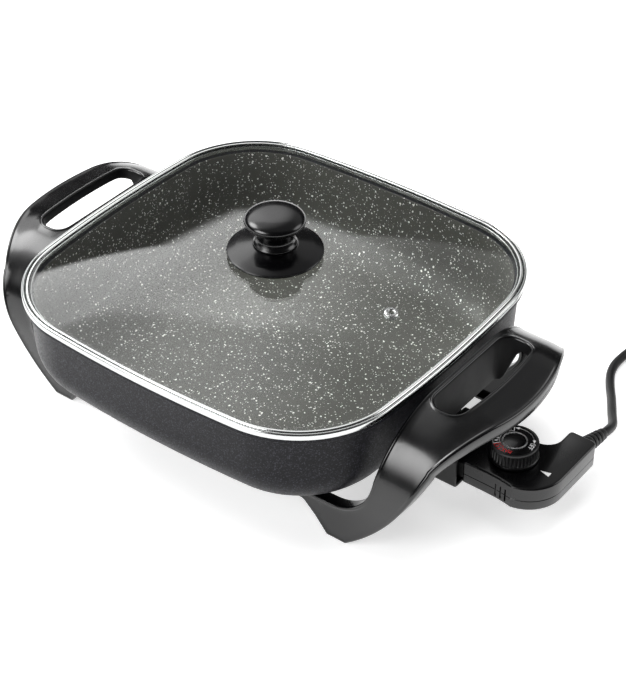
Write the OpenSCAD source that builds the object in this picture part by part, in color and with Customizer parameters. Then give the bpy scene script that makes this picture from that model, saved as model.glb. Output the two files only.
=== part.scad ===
// Electric skillet: a cast square pan on two footed handles, a domed glass lid and a
// plug-in thermostat on a mains lead. Millimetres, +Z up, the origin on the worktop
// under the middle of the pan, +X towards the thermostat.

/* [Outline of the rim] */
// Radius of a corner of the lid's edge
corner_r = 78.4; // [76:0.2:80]
// From a corner's centre to the centre of the bowed side on the +X or -X side
gap_x = 900; // [850:25:950]
// From a corner's centre to the centre of the bowed side on the +Y or -Y side
gap_y = 975; // [900:25:1000]

/* [Pan] */
// Height of the pan's underside above the worktop
pan_base_z = 38; // [36:0.5:39]
// Thickness of the cast floor and wall
pan_wall = 4; // [3.5:0.1:4.4]
// Radius of the rounded bottom edge, outside
pan_bottom_r = 26; // [24:0.5:28]
// Height of the seat that the lid stands on
pan_lip_z = 108.9; // [106:0.1:110]
// Radius of the heating element's tube
element_r = 4; // [3.5:0.1:4.2]

/* [Lid] */
// Height of the glass at its middle
dome_z = 131; // [125:0.5:134]
// Thickness of the glass
glass_t = 3.2; // [3:0.1:4]
// Distance of the steam vent from the middle
vent_x = 100; // [80:1:110]
// Radius of the plate under the knob
collar_r = 34.4; // [28:0.2:38]
// Radius of the knob's cap
knob_r = 21.8; // [18:0.2:24]

/* [Handles] */
// Height of the grip's upper face
grip_z = 107; // [105:0.5:108]
// Distance of the legs' outer faces from the middle
leg_y = 96.4; // [94:0.2:99]
// Radius over which the grip bends down into a leg
grip_bend_r = 63; // [58:0.5:66]
// Reach of the grip from the middle of the pan
grip_x = 215; // [212:0.5:218]
// Angle at which the grip falls away outward from its slot
grip_fall = 12; // [8:0.5:14]
// Thickness of the moulding
grip_skin = 4; // [3.5:0.1:5]
// Depth of the rim that stiffens the moulding's edges
grip_rim = 9; // [7:0.5:11]

/* [Thermostat] */
// Height of the probe and the terminals
probe_z = 34; // [33.8:0.1:34.4]
// Radius of the probe
probe_r = 3.2; // [3:0.1:3.2]
// Radius of a terminal pin
pin_r = 2.3; // [2:0.1:2.4]
// Lower face of the housing
case_low_z = 27; // [26:0.5:27.5]
// Joint between the two halves of the housing
case_seam_z = 35; // [34.5:0.5:36]
// Upper face of the housing
case_top_z = 46; // [45.5:0.5:48]
// Wall of the housing
case_wall = 2.2; // [1.8:0.1:2.6]
// Radius of the dial
dial_r = 16.7; // [15:0.1:17]
// Number of flutes round the dial
dial_flutes = 36; // [24:1:40]

/* [Mains lead] */
// Diameter of the lead
cord_d = 6.8; // [6.4:0.1:7]
// Diameter of the coil at the middle of its turns
coil_d = 76; // [70:1:81]
// Turns in the coil
coil_turns = 4; // [3:0.5:4]

/* [Hidden] */
$fn = 64;
eps = 0.01;

// ---- the rim's outline: four corner arcs joined by four bowed sides, tangent to them.
// A side's arc leans away by the angle of a right triangle with sides 237, 3116 and 3125.
lean_sin = 0.07584;
lean_cos = 0.99712;
lean = asin(lean_sin);
corner_x = gap_y * lean_sin;
corner_y = gap_x * lean_sin;
side_x0 = corner_x - gap_x * lean_cos;
side_y0 = corner_y - gap_y * lean_cos;
side_rx = gap_x + corner_r;
side_ry = gap_y + corner_r;
half_x = side_x0 + side_rx;
half_y = side_y0 + side_ry;
wedge = 100;
side_inset = corner_r + 6;

// ---- pan: distances outward from the rim's outline are negative inside it
wall_out = -6;
bottom_in = wall_out - pan_bottom_r;
bottom_z = pan_base_z + pan_bottom_r;
cavity_r = pan_bottom_r - pan_wall;
cavity_in = wall_out - pan_wall;
lip_out = -0.6;
lip_in = -5.6;
lip_h = 3.3;
ledge_z = pan_lip_z - 3.5;
element_z = pan_base_z - 4.4;
rib_r = 6.6;
terminal_y = 15;
terminal_x = 147.5;
guard_back = 2.5;
// The ring and its two bends meet where a 44, 117, 125 right triangle's long side points
element_far = 112.5;
element_cos = 0.936;
element_sin = 0.352;
element_bend_x = element_far * element_cos;
element_bend_y = element_far * element_sin;
element_bend_r = element_bend_y - terminal_y;
element_ring_r = element_far - element_bend_r;
boss_from = 105;
boss_half_y = 24;
boss_low = pan_base_z - 12;
boss_high = pan_base_z + 8;
well_end = 60;
well_clear = 0.05;
foot_screw = [96, 84];
foot_boss_low = 30;
screw_r = 2;

// ---- terminal guard
guard_end = 175;
guard_half_y = 27;
guard_low = 22;
guard_high = 48;
guard_wall = 2.5;
guard_screw = [21.4, 43];

// ---- handles
pad_low = 22;
leg_outer_c = [30, 132];
leg_outer_r = 168;
leg_inner_c = [119.5, 64];
inner_top_x = 158.5;
leg_inner_r = 33.5;
crown_c = 65;
crown_z = 81.4;
slot_x = [163.5, 190];
slot_half_y = 47;
slot_corner_r = 10;
slot_bow_r = 300;
slot_collar = 2.5;
slot_lip = 6;
finger_wall = 22;
fall_x = 187;

// ---- lid
band_top = 113.5;
band_wall = 0.7;
glass_edge_z = band_top - band_wall;
step_s = 0.945;
dome_s = 0.925;
step_z = 115;
knob_bore_r = 2.5;

// ---- thermostat
case_x = 177.5;
case_y = [-22, 26];
corner_c = [213, 3.4];
case_corner_r = 27.8;
case_end = corner_c[0] + case_corner_r;
tail_y = 50;
tail_in = 219;
tail_fillet = 12;
fillet_cross = 0.15;
flare_x = [196, 217.5];
dial_at = [202, 3];
dial_gap = 0.3;
dial_top = case_top_z + 14;
shaft_r = 3;
case_screw_r = 1.6;
relief_at = [231, tail_y, 38];
relief_tilt = 14;
relief_l = 26;

// ---- mains lead: points by hand, in order from the strain relief
lead_r = cord_d / 2;
relief_tip = [231, tail_y + relief_l * cos(relief_tilt), 38 - relief_l * sin(relief_tilt)];

function dome_height(s) =
    s >= step_s ? glass_edge_z
    : s >= dome_s ? glass_edge_z + (step_z - glass_edge_z) * (step_s - s) / (step_s - dome_s)
    : step_z + (dome_z - step_z) * (1 - pow(s / dome_s, 2));
function dome_slope(s) = 2 * (dome_z - step_z) * s / (dome_s * dome_s * half_x);

// One quarter of the outline as points, from the +X side round to the +Y side
function quarter_outline(corner_n = 9) = concat(
    [for (k = [0, 1]) let (a = lean * k / 2)
        [side_x0 + side_rx * cos(a), side_rx * sin(a)]],
    [for (k = [0:corner_n]) let (a = lean + (90 - 2 * lean) * k / corner_n)
        [corner_x + corner_r * cos(a), corner_y + corner_r * sin(a)]],
    [let (a = 90 - lean / 2) [side_ry * cos(a), side_y0 + side_ry * sin(a)]]);
function backwards(points) = [for (k = [len(points) - 1:-1:0]) points[k]];
function full_outline() = let (q = quarter_outline(), top = [[0, half_y]])
    concat(q, top, backwards([for (k = [1:len(q) - 1]) [-q[k][0], q[k][1]]]),
        [[-half_x, 0]], [for (k = [1:len(q) - 1]) [-q[k][0], -q[k][1]]], [[0, -half_y]],
        backwards([for (k = [1:len(q) - 1]) [q[k][0], -q[k][1]]]));

// Carries a drawing (distance outward from the rim's outline, height) round the outline
module around_rim() {
    reach_x = side_rx + wedge;
    reach_y = side_ry + wedge;
    for (mx = [0, 1], my = [0, 1]) mirror([mx, 0, 0]) mirror([0, my, 0]) intersection() {
        translate([corner_x, corner_y, 0]) rotate_extrude($fn = 96) intersection() {
            translate([corner_r, 0]) children();
            square([2 * corner_r, 2 * dome_z]);
        }
        linear_extrude(2 * dome_z) polygon([[corner_x, corner_y],
            [corner_x + wedge * lean_cos, corner_y + wedge * lean_sin],
            [corner_x + wedge, corner_y + wedge],
            [corner_x + wedge * lean_sin, corner_y + wedge * lean_cos]]);
    }
    for (mx = [0, 1]) mirror([mx, 0, 0]) intersection() {
        translate([side_x0, 0, 0]) rotate_extrude($fn = 900)
            translate([side_rx, 0]) children();
        linear_extrude(2 * dome_z) polygon([[side_x0, 0],
            [side_x0 + reach_x * lean_cos, -reach_x * lean_sin],
            [side_x0 + reach_x * lean_cos, reach_x * lean_sin]]);
    }
    for (my = [0, 1]) mirror([0, my, 0]) intersection() {
        translate([0, side_y0, 0]) rotate_extrude($fn = 900)
            translate([side_ry, 0]) children();
        linear_extrude(2 * dome_z) polygon([[0, side_y0],
            [reach_y * lean_sin, side_y0 + reach_y * lean_cos],
            [-reach_y * lean_sin, side_y0 + reach_y * lean_cos]]);
    }
}

module tube(length, r, bore) {
    difference() {
        cylinder(h = length, r = r);
        translate([0, 0, -1]) cylinder(h = length + 2, r = bore);
    }
}
module along_x(at) { translate(at) rotate([0, 90, 0]) children(); }

// ---- pan
module pan_section() {
    difference() {
        union() {
            translate([bottom_in, bottom_z]) circle(pan_bottom_r);
            polygon([[-side_inset, pan_base_z], [bottom_in, pan_base_z],
                [bottom_in, bottom_z], [wall_out, bottom_z],
                [wall_out + 1.4, pan_lip_z - lip_h - 2.2], [lip_out, pan_lip_z - lip_h],
                [lip_out, pan_lip_z], [-side_inset, pan_lip_z]]);
        }
        translate([bottom_in, bottom_z]) circle(cavity_r);
        polygon([[-side_inset - 1, pan_base_z + pan_wall],
            [bottom_in, pan_base_z + pan_wall], [bottom_in, bottom_z],
            [cavity_in, bottom_z], [cavity_in + 0.6, ledge_z], [lip_in, ledge_z],
            [lip_in, pan_lip_z + 1], [-side_inset - 1, pan_lip_z + 1]]);
    }
}
module element_path(r) {
    reach = 150;
    near = 60;
    for (side = [0, 1]) mirror([0, side, 0]) {
        along_x([element_bend_x, terminal_y, element_z])
            cylinder(h = terminal_x - element_bend_x, r = r);
        intersection() {
            translate([element_bend_x, element_bend_y, element_z]) rotate_extrude()
                translate([element_bend_r, 0]) circle(r);
            linear_extrude(dome_z) polygon([[element_bend_x, element_bend_y],
                [element_bend_x - near * element_cos, element_bend_y - near * element_sin],
                [element_bend_x - near * element_cos, element_bend_y - near],
                [element_bend_x, element_bend_y - near]]);
        }
    }
    difference() {
        translate([0, 0, element_z]) rotate_extrude($fn = 96)
            translate([element_ring_r, 0]) circle(r);
        linear_extrude(dome_z) polygon([[0, 0],
            [reach * element_cos, reach * element_sin],
            [reach * element_cos, -reach * element_sin]]);
    }
}
module terminal_boss() {
    rotate([90, 0, 0]) linear_extrude(2 * boss_half_y, center = true)
        difference() {
            translate([boss_from, boss_low])
                square([terminal_x - boss_from, boss_high - boss_low]);
            translate([half_x + bottom_in, bottom_z]) circle(cavity_r + pan_wall / 2);
            translate([0, pan_base_z + pan_wall / 2])
                square([half_x + bottom_in, pan_bottom_r]);
        }
}
module pan() {
    color("#3a3a3f") difference() {
        union() {
            around_rim() pan_section();
            translate([-corner_x, -corner_y, pan_base_z])
                cube([2 * corner_x, 2 * corner_y, pan_wall]);
            element_path(rib_r - eps);
            along_x([well_end - 8, 0, probe_z]) cylinder(h = 60, r = rib_r);
            terminal_boss();
            for (sx = [-1, 1], sy = [-1, 1])
                translate([sx * foot_screw[0], sy * foot_screw[1], foot_boss_low])
                    cylinder(h = pan_base_z + 1 - foot_boss_low, r = 7);
        }
        element_path(element_r);
        for (sy = [-1, 1]) {
            along_x([terminal_x - 1, sy * terminal_y, element_z])
                cylinder(h = 2, r = element_r);
            along_x([terminal_x - 8, sy * guard_screw[0], guard_screw[1]])
                cylinder(h = 9, r = 1.5);
        }
        along_x([well_end, 0, probe_z])
            cylinder(h = terminal_x - well_end + 1, r = probe_r + well_clear);
        for (sx = [-1, 1], sy = [-1, 1])
            translate([sx * foot_screw[0], sy * foot_screw[1], foot_boss_low - 1])
                cylinder(h = 8, r = screw_r);
    }
}
module heating_element() { color("#6d6a66") element_path(element_r); }
module pin_insulators() {
    color("#e8e2d4") for (sy = [-1, 1])
        along_x([terminal_x, sy * terminal_y, element_z])
            tube(guard_back + 3.5, element_r, pin_r);
}
module element_pins() {
    color("#c9ccd0") for (sy = [-1, 1])
        along_x([terminal_x, sy * terminal_y, element_z]) {
            cylinder(h = 21, r = pin_r);
            translate([0, 0, 21]) cylinder(h = 2, r1 = pin_r, r2 = pin_r - 1);
        }
}

// ---- terminal guard: an open-ended box that shrouds the pins
module terminal_guard() {
    color("#1b1b1d") difference() {
        rotate([90, 0, 90]) translate([0, 0, terminal_x])
            linear_extrude(guard_end - terminal_x) rounded([-guard_half_y, guard_low],
                [guard_half_y, guard_high], 4);
        rotate([90, 0, 90]) translate([0, 0, terminal_x + guard_back])
            linear_extrude(guard_end) rounded(
                [-guard_half_y + guard_wall, guard_low + guard_wall],
                [guard_half_y - guard_wall, guard_high - guard_wall], 2);
        for (sy = [-1, 1]) {
            along_x([terminal_x - 1, sy * terminal_y, element_z])
                cylinder(h = 5, r = element_r);
            along_x([terminal_x - 1, sy * guard_screw[0], guard_screw[1]])
                cylinder(h = 5, r = 1.5);
        }
        along_x([terminal_x - 1, 0, probe_z]) cylinder(h = 5, r = probe_r + 0.8);
    }
}
// A rectangle from one corner to the other with true arcs at its corners
module rounded(low, high, r) {
    translate([low[0] + r, low[1]]) square([high[0] - low[0] - 2 * r, high[1] - low[1]]);
    translate([low[0], low[1] + r]) square([high[0] - low[0], high[1] - low[1] - 2 * r]);
    for (x = [low[0] + r, high[0] - r], y = [low[1] + r, high[1] - r])
        translate([x, y]) circle(r);
}
module guard_screws() {
    color("#c9ccd0") for (sy = [-1, 1])
        along_x([terminal_x - 6, sy * guard_screw[0], guard_screw[1]]) {
            cylinder(h = 6 + guard_back, r = 1.5);
            translate([0, 0, 6 + guard_back]) cylinder(h = 1.2, r = 2.4);
        }
}

// ---- handles: a moulded ribbon that arches from foot to foot, hollow behind its rims
module arch_shape(inset) {
    flat = leg_y - grip_bend_r;
    bend_z = grip_z - grip_bend_r;
    below = 40;
    translate([-leg_y + inset, -below]) square([2 * (leg_y - inset), bend_z + below]);
    translate([-flat, 0]) square([2 * flat, grip_z - inset]);
    for (y = [-flat, flat]) translate([y, bend_z]) circle(grip_bend_r - inset, $fn = 128);
}
module level_arch(inset) {
    rotate([90, 0, 90]) translate([0, 0, 60]) linear_extrude(180) arch_shape(inset);
}
// The arch as seen from the side, level over the slot and falling away outward from it
module arch_block(inset) {
    intersection() {
        level_arch(inset);
        translate([fall_x, 0, grip_z]) rotate([0, grip_fall, 0])
            translate([-fall_x, 0, -grip_z]) level_arch(inset);
    }
}
module leg_side(inset) {
    difference() {
        union() {
            intersection() {
                translate(leg_outer_c) circle(leg_outer_r - inset, $fn = 256);
                polygon([[118 + inset * 0.9, inset], [230, inset], [230, 90], [118, 90],
                    [118, foot_boss_low - inset + eps], [86 + inset, foot_boss_low - inset],
                    [86 + inset, pad_low + inset], [99 + inset / 2, pad_low + inset]]);
            }
            translate([150, crown_z]) square([70, grip_z + 3 - crown_z]);
        }
        translate(leg_inner_c) circle(leg_inner_r + inset, $fn = 96);
        polygon([[90, leg_inner_c[1]],
            [leg_inner_c[0] + leg_inner_r + inset, leg_inner_c[1]],
            [inner_top_x + inset, grip_z + 4], [90, grip_z + 4]]);
    }
}
module handle_outline(inset) {
    intersection() {
        rotate([90, 0, 0]) linear_extrude(2 * leg_y + 2, center = true) leg_side(inset);
        translate([crown_c, 0, -1])
            cylinder(h = grip_z + 3, r = grip_x - crown_c - inset, $fn = 256);
    }
}
module slot_shape(grow) {
    intersection() {
        rounded([slot_x[0] - grow, -slot_half_y - grow],
            [slot_x[1] + 3 + grow, slot_half_y + grow], slot_corner_r + grow);
        translate([slot_x[1] - slot_bow_r, 0]) circle(slot_bow_r + grow, $fn = 360);
    }
}
module handle() {
    color("#161618") difference() {
        union() {
            difference() {
                intersection() { arch_block(0); handle_outline(0); }
                intersection() { arch_block(grip_skin); handle_outline(grip_skin - 1); }
                arch_block(grip_rim);
            }
            difference() {
                intersection() {
                    arch_block(0);
                    translate([0, 0, grip_z - 20]) linear_extrude(30) slot_shape(slot_collar);
                }
                arch_block(slot_lip);
            }
            translate([slot_x[0] - slot_collar, slot_corner_r - slot_half_y, grip_z - finger_wall])
                cube([slot_collar, 2 * (slot_half_y - slot_corner_r), finger_wall - 1]);
            for (sy = [-1, 1])
                translate([88, sy * 83.6 - 9, pad_low]) cube([18, 18, foot_boss_low - pad_low]);
        }
        translate([0, 0, grip_z - 30]) linear_extrude(50) slot_shape(0);
        for (sy = [-1, 1]) translate([foot_screw[0], sy * foot_screw[1], pad_low - 1]) {
            cylinder(h = 12, r = screw_r);
            cylinder(h = 4, r = 4.2);
        }
    }
}
module handle_right() { handle(); }
module handle_left() { mirror([1, 0, 0]) handle(); }
module handle_screws() {
    color("#c9ccd0") for (sx = [-1, 1], sy = [-1, 1])
        translate([sx * foot_screw[0], sy * foot_screw[1], pad_low + 0.6]) {
            cylinder(h = 2.4, r = 4);
            cylinder(h = 13, r = screw_r);
        }
}

// ---- lid
module lid_glass() {
    outline = full_outline();
    n = len(outline);
    steps = [0.9955, step_s, dome_s, 0.82, 0.7, 0.57, 0.44, 0.3, 0.15];
    m = len(steps);
    top = [for (s = steps) for (p = outline) [s * p[0], s * p[1], dome_height(s)]];
    low = [for (s = steps) for (p = outline) [s * p[0], s * p[1], dome_height(s) - glass_t]];
    centre = [[0, 0, dome_height(0)], [0, 0, dome_height(0) - glass_t]];
    apex = 2 * n * m;
    function quad(a, b, c, d) = [[a, b, c], [a, c, d]];
    top_faces = [for (i = [0:m - 2], k = [0:n - 1]) let (j = (k + 1) % n)
        for (f = quad(i * n + k, (i + 1) * n + k, (i + 1) * n + j, i * n + j)) f];
    low_faces = [for (i = [0:m - 2], k = [0:n - 1]) let (j = (k + 1) % n, o = n * m)
        for (f = quad(o + i * n + k, o + i * n + j, o + (i + 1) * n + j, o + (i + 1) * n + k))
            f];
    edge = [for (k = [0:n - 1]) let (j = (k + 1) % n, o = n * m)
        for (f = quad(k, j, o + j, o + k)) f];
    caps = [for (k = [0:n - 1]) let (j = (k + 1) % n)
        for (f = [[(m - 1) * n + k, apex, (m - 1) * n + j],
            [n * m + (m - 1) * n + k, n * m + (m - 1) * n + j, apex + 1]]) f];
    color("#cfe0dc", 0.35) difference() {
        polyhedron(points = concat(top, low, centre),
            faces = concat(top_faces, low_faces, edge, caps));
        translate([0, 0, dome_z - 10]) cylinder(h = 20, r = 4);
        vent_place() translate([0, 0, -10]) cylinder(h = 20, r = 3.4);
    }
}
module vent_place() {
    s = vent_x / half_x;
    translate([vent_x, 0, dome_height(s)]) rotate([0, atan(dome_slope(s)), 0]) children();
}
module lid_band() {
    flange = 5.2;
    skirt = [-6.6, -7.3];
    drop = 2.5;
    color("#c4c7ca") around_rim()
        polygon([[0, pan_lip_z], [0, band_top - 1], [-1, band_top], [-flange, band_top],
            [-flange, glass_edge_z], [-band_wall, glass_edge_z],
            [-band_wall, glass_edge_z - glass_t], [skirt[1], glass_edge_z - glass_t],
            [skirt[1], pan_lip_z - drop], [skirt[0], pan_lip_z - drop],
            [skirt[0], pan_lip_z]]);
}
module steam_vent() {
    color("#d0d2d4") vent_place() rotate_extrude()
        polygon([[2, -glass_t - 1], [5, -glass_t - 1], [5, -glass_t - 0.15],
            [3.2, -glass_t - 0.15], [3.2, 0.15], [5, 0.15], [4.6, 0.9], [3.4, 1.5],
            [2.4, 1.2], [2, 0.6]]);
}
module knob_collar() {
    color("#111113") difference() {
        rotate_extrude($fn = 96)
            polygon([[0, dome_z], [13, dome_z], [15, dome_z + 1.2], [collar_r - 2, dome_z + 0.9],
                [collar_r - 0.4, dome_z + 1.2], [collar_r, dome_z + 2],
                [collar_r - 0.4, dome_z + 2.9], [collar_r - 1.4, dome_z + 3.3],
                [28, dome_z + 5], [22, dome_z + 6.6], [16.5, dome_z + 7.8], [0, dome_z + 7.8]]);
        translate([0, 0, dome_z - 1]) cylinder(h = 12, r = knob_bore_r);
    }
}
module knob() {
    base = dome_z + 7.8;
    cap = base + 20;
    color("#0e0e10") difference() {
        rotate_extrude($fn = 96)
            polygon([[0, base], [15, base], [15.9, base + 0.6], [16, base + 1.5],
                [15.3, base + 2.3], [14, base + 3], [13, base + 5], [12.6, base + 7.6],
                [13, base + 10.4], [14.4, base + 13], [17, base + 15.2], [20.4, base + 16.8],
                [knob_r - 0.3, base + 18], [knob_r, cap - 0.9], [knob_r - 0.4, cap + 0.3],
                [knob_r - 1.8, cap + 2.2], [knob_r - 4, cap + 3.9], [13, cap + 4.8],
                [7, cap + 5.3], [0, cap + 5.5]]);
        translate([0, 0, base - 1]) cylinder(h = 14, r = knob_bore_r);
    }
}
module knob_screw() {
    color("#b9bcc0") translate([0, 0, dome_z - glass_t - 2]) {
        cylinder(h = 20, r = knob_bore_r);
        translate([0, 0, -2.4]) cylinder(h = 2.4, r = 4.6);
    }
}
module knob_washer() {
    color("#b9bcc0") translate([0, 0, dome_z - glass_t - 2]) tube(1, 9, knob_bore_r);
}
module knob_gasket() {
    color("#8a8a86") translate([0, 0, dome_z - glass_t - 1]) tube(1, 10.5, knob_bore_r);
}

// ---- thermostat
module case_outline(inset) {
    split_x = flare_x[1];
    back = case_y[1] - inset;
    translate([case_x + inset, case_y[0] + inset])
        square([split_x - case_x - inset, back - case_y[0] - inset]);
    polygon([[flare_x[0], case_y[0] + inset], [206, case_y[0] - 0.4 + inset],
        [213, case_y[0] - 1.3 + inset], [split_x, case_y[0] - 2.1 + inset],
        [split_x, 0], [flare_x[0], 0]]);
    intersection() {
        translate(corner_c) circle(case_corner_r - inset, $fn = 128);
        translate([split_x, corner_c[1] - 40]) square([40, 40]);
    }
    translate([split_x, corner_c[1]]) square([case_end - split_x - inset, back - corner_c[1]]);
    translate([tail_in + inset, corner_c[1] + 5])
        square([case_end - tail_in - 2 * inset, tail_y - corner_c[1] - 5 - inset]);
    difference() {
        translate([tail_in - tail_fillet, back - 1])
            square([tail_fillet + inset + 1, tail_fillet + inset + 1]);
        translate([tail_in - tail_fillet, case_y[1] + tail_fillet])
            circle(tail_fillet + inset + fillet_cross, $fn = 96);
    }
}
module grip_notches() {
    for (k = [0:2])
        translate([204 + 4 * k, case_y[0] - 4, case_seam_z - 5.5]) cube([1.4, 5, 10.5]);
}
module nose_opening() {
    translate([case_x - 1, -21, 28.5]) cube([case_wall + 3, 42, 13]);
}
module case_lower() {
    color("#19191b") difference() {
        union() {
            translate([0, 0, case_low_z]) linear_extrude(1) case_outline(1);
            translate([0, 0, case_low_z + 1])
                linear_extrude(case_seam_z - case_low_z - 1) case_outline(0);
        }
        difference() {
            translate([0, 0, case_low_z + case_wall]) linear_extrude(20) case_outline(case_wall);
            case_posts(case_low_z, case_seam_z);
        }
        nose_opening();
        grip_notches();
        relief_place() translate([0, 0, -8]) cylinder(h = 10, r = 4.6);
        for (p = case_screw_points()) translate([p[0], p[1], case_low_z - 1])
            cylinder(h = 20, r = case_screw_r);
    }
}
module case_posts(low, high) {
    for (p = case_screw_points()) translate([p[0], p[1], low]) cylinder(h = high - low, r = 3);
}
module case_upper() {
    rail = 1.6;
    color("#19191b") difference() {
        union() {
            translate([0, 0, case_seam_z])
                linear_extrude(case_top_z - case_seam_z - rail) case_outline(0);
            translate([0, 0, case_top_z - rail]) linear_extrude(rail / 2) case_outline(0.5);
            translate([0, 0, case_top_z - rail / 2]) linear_extrude(rail / 2) case_outline(1.5);
        }
        difference() {
            translate([0, 0, case_seam_z - 1])
                linear_extrude(case_top_z - case_seam_z + 1 - case_wall) case_outline(case_wall);
            case_posts(case_seam_z, case_top_z);
        }
        for (p = case_screw_points()) translate([p[0], p[1], case_seam_z - 1])
            cylinder(h = 5, r = case_screw_r);
        nose_opening();
        grip_notches();
        relief_place() translate([0, 0, -8]) cylinder(h = 10, r = 4.6);
        translate([dial_at[0], dial_at[1], case_top_z - 5]) cylinder(h = 10, r = shaft_r + 0.1);
    }
}
function case_screw_points() = [[188, 21.6], [227, -12], [235, 33]];
module case_screws() {
    color("#b9bcc0") for (p = case_screw_points())
        translate([p[0], p[1], case_low_z]) cylinder(h = 11, r = case_screw_r);
}
module contact_carrier() {
    color("#2a2523") difference() {
        translate([157.5, case_y[0] + case_wall, case_low_z + case_wall])
            cube([27, -2 * (case_y[0] + case_wall), 11.8]);
        for (sy = [-1, 1]) along_x([156, sy * terminal_y, element_z]) cylinder(h = 30, r = 3.6);
        along_x([156, 0, probe_z]) cylinder(h = 30, r = probe_r);
    }
}
module contact_sleeves() {
    color("#c8a24a") for (sy = [-1, 1])
        along_x([158, sy * terminal_y, element_z]) tube(24, 3.6, pin_r + 0.05);
}
module probe() {
    color("#c4c7ca") {
        along_x([68, 0, probe_z]) cylinder(h = 130, r = probe_r);
        translate([68, 0, probe_z]) sphere(probe_r);
    }
}
module bimetal_arm() {
    color("#b78b4e") difference() {
        translate([198, -4, probe_z - 0.6]) cube([30, 8, 1.2]);
        translate([197, -2, probe_z - 2]) cube([6, 4, 1.4]);
    }
}
module switch_block() {
    color("#e5ddc8") {
        translate([208, -10, case_low_z + case_wall]) cube([16, 20, 4.2]);
        translate([222, -3, case_low_z + case_wall]) cube([4, 6, probe_z - 0.6 - case_low_z - case_wall]);
    }
}
module dial() {
    low = case_top_z + dial_gap;
    skirt = 3;
    cap = 2;
    flute_r = 0.75;
    color("#151517") translate([dial_at[0], dial_at[1], 0]) difference() {
        union() {
            translate([0, 0, low]) cylinder(h = 1, r = dial_r - 0.6, $fn = 96);
            translate([0, 0, low + 1]) cylinder(h = skirt - 1.2, r = dial_r + 0.6, $fn = 96);
            translate([0, 0, low + 1]) cylinder(h = dial_top - low - 2, r = dial_r - 0.3, $fn = 96);
            translate([0, 0, dial_top - cap]) cylinder(h = cap - 0.6, r = dial_r, $fn = 96);
            translate([0, 0, dial_top - 0.6])
                cylinder(h = 0.6, r1 = dial_r, r2 = dial_r - 0.6, $fn = 96);
        }
        for (k = [0:dial_flutes - 1]) rotate(k * 360 / dial_flutes)
            translate([dial_r + 0.1, 0, low + skirt])
                cylinder(h = dial_top - cap - low - skirt - 0.4, r = flute_r, $fn = 16);
        translate([0, 0, low - 1]) cylinder(h = 11, r = shaft_r);
        translate([0, 0, dial_top - 0.5]) cylinder(h = 2, r = dial_r - 1.6, $fn = 96);
    }
}
module dial_face() {
    color("#0d0d0f") translate([dial_at[0], dial_at[1], dial_top - 0.5])
        cylinder(h = 0.4, r = dial_r - 1.6, $fn = 96);
}
module dial_shaft() {
    top = case_top_z + dial_gap + 10;
    color("#b9bcc0") translate([dial_at[0], dial_at[1], probe_z + 1]) {
        cylinder(h = top - probe_z - 1, r = shaft_r);
        translate([0, 0, 3]) cylinder(h = 1.5, r = 6);
    }
}

// ---- mains lead
module relief_place() { translate(relief_at) rotate([-90 - relief_tilt, 0, 0]) children(); }
module strain_relief() {
    root = 6.2;
    ribs = 4;
    pitch = 5.2;
    color("#141416") difference() {
        relief_place() rotate_extrude($fn = 48) union() {
            polygon([[0, -5], [4.5, -5], [4.5, 0], [root - 1, 0], [lead_r + 1, relief_l], [0, relief_l]]);
            for (k = [0:ribs - 1]) let (r = root - k * 0.4)
                translate([0, 1 + k * pitch]) polygon([[0, 0], [r - 0.4, 0], [r, 0.8],
                    [r - 0.1, 3], [r - 0.7, 3.6], [0, 3.6]]);
        }
        translate([relief_at[0] - 10, tail_y - 20, 0]) cube([20, 12, 60]);
    }
}

function unit(v) = v / norm(v);
// A smooth curve through hand-set points: cubic pieces whose slopes follow the neighbours
function slope(p, k) = k == 0 ? (p[1] - p[0]) : k == len(p) - 1 ? (p[k] - p[k - 1])
    : (p[k + 1] - p[k - 1]) / 2;
function curve_point(p, k, t) = let (a = p[k], b = p[k + 1], u = slope(p, k), v = slope(p, k + 1))
    a * (2 * t * t * t - 3 * t * t + 1) + u * (t * t * t - 2 * t * t + t)
    + b * (3 * t * t - 2 * t * t * t) + v * (t * t * t - t * t);
function curve(p, pieces) = concat(
    [for (k = [0:len(p) - 2], j = [0:pieces - 1]) curve_point(p, k, j / pieces)],
    [p[len(p) - 1]]);
// A round tube of one piece along points: each ring faces along the path
module swept_tube(path, r, sides, first, last) {
    n = len(path);
    function heading(k) = k == 0 ? unit(first) : k == n - 1 ? unit(last)
        : unit(path[k + 1] - path[k - 1]);
    rings = [for (k = [0:n - 1]) let (h = heading(k), across = unit(cross(h, [0, 0, 1])),
        up = cross(across, h)) [for (j = [0:sides - 1]) let (a = 360 * (j + 0.5) / sides)
            path[k] + r * (across * cos(a) + up * sin(a))]];
    walls = [for (k = [0:n - 2], j = [0:sides - 1]) let (i = (j + 1) % sides)
        for (f = [[k * sides + j, k * sides + i, (k + 1) * sides + j],
            [k * sides + i, (k + 1) * sides + i, (k + 1) * sides + j]]) f];
    polyhedron(points = [for (ring = rings) for (p = ring) p],
        faces = concat(walls, [[for (j = [sides - 1:-1:0]) j]],
            [[for (j = [0:sides - 1]) (n - 1) * sides + j]]));
}

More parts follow.
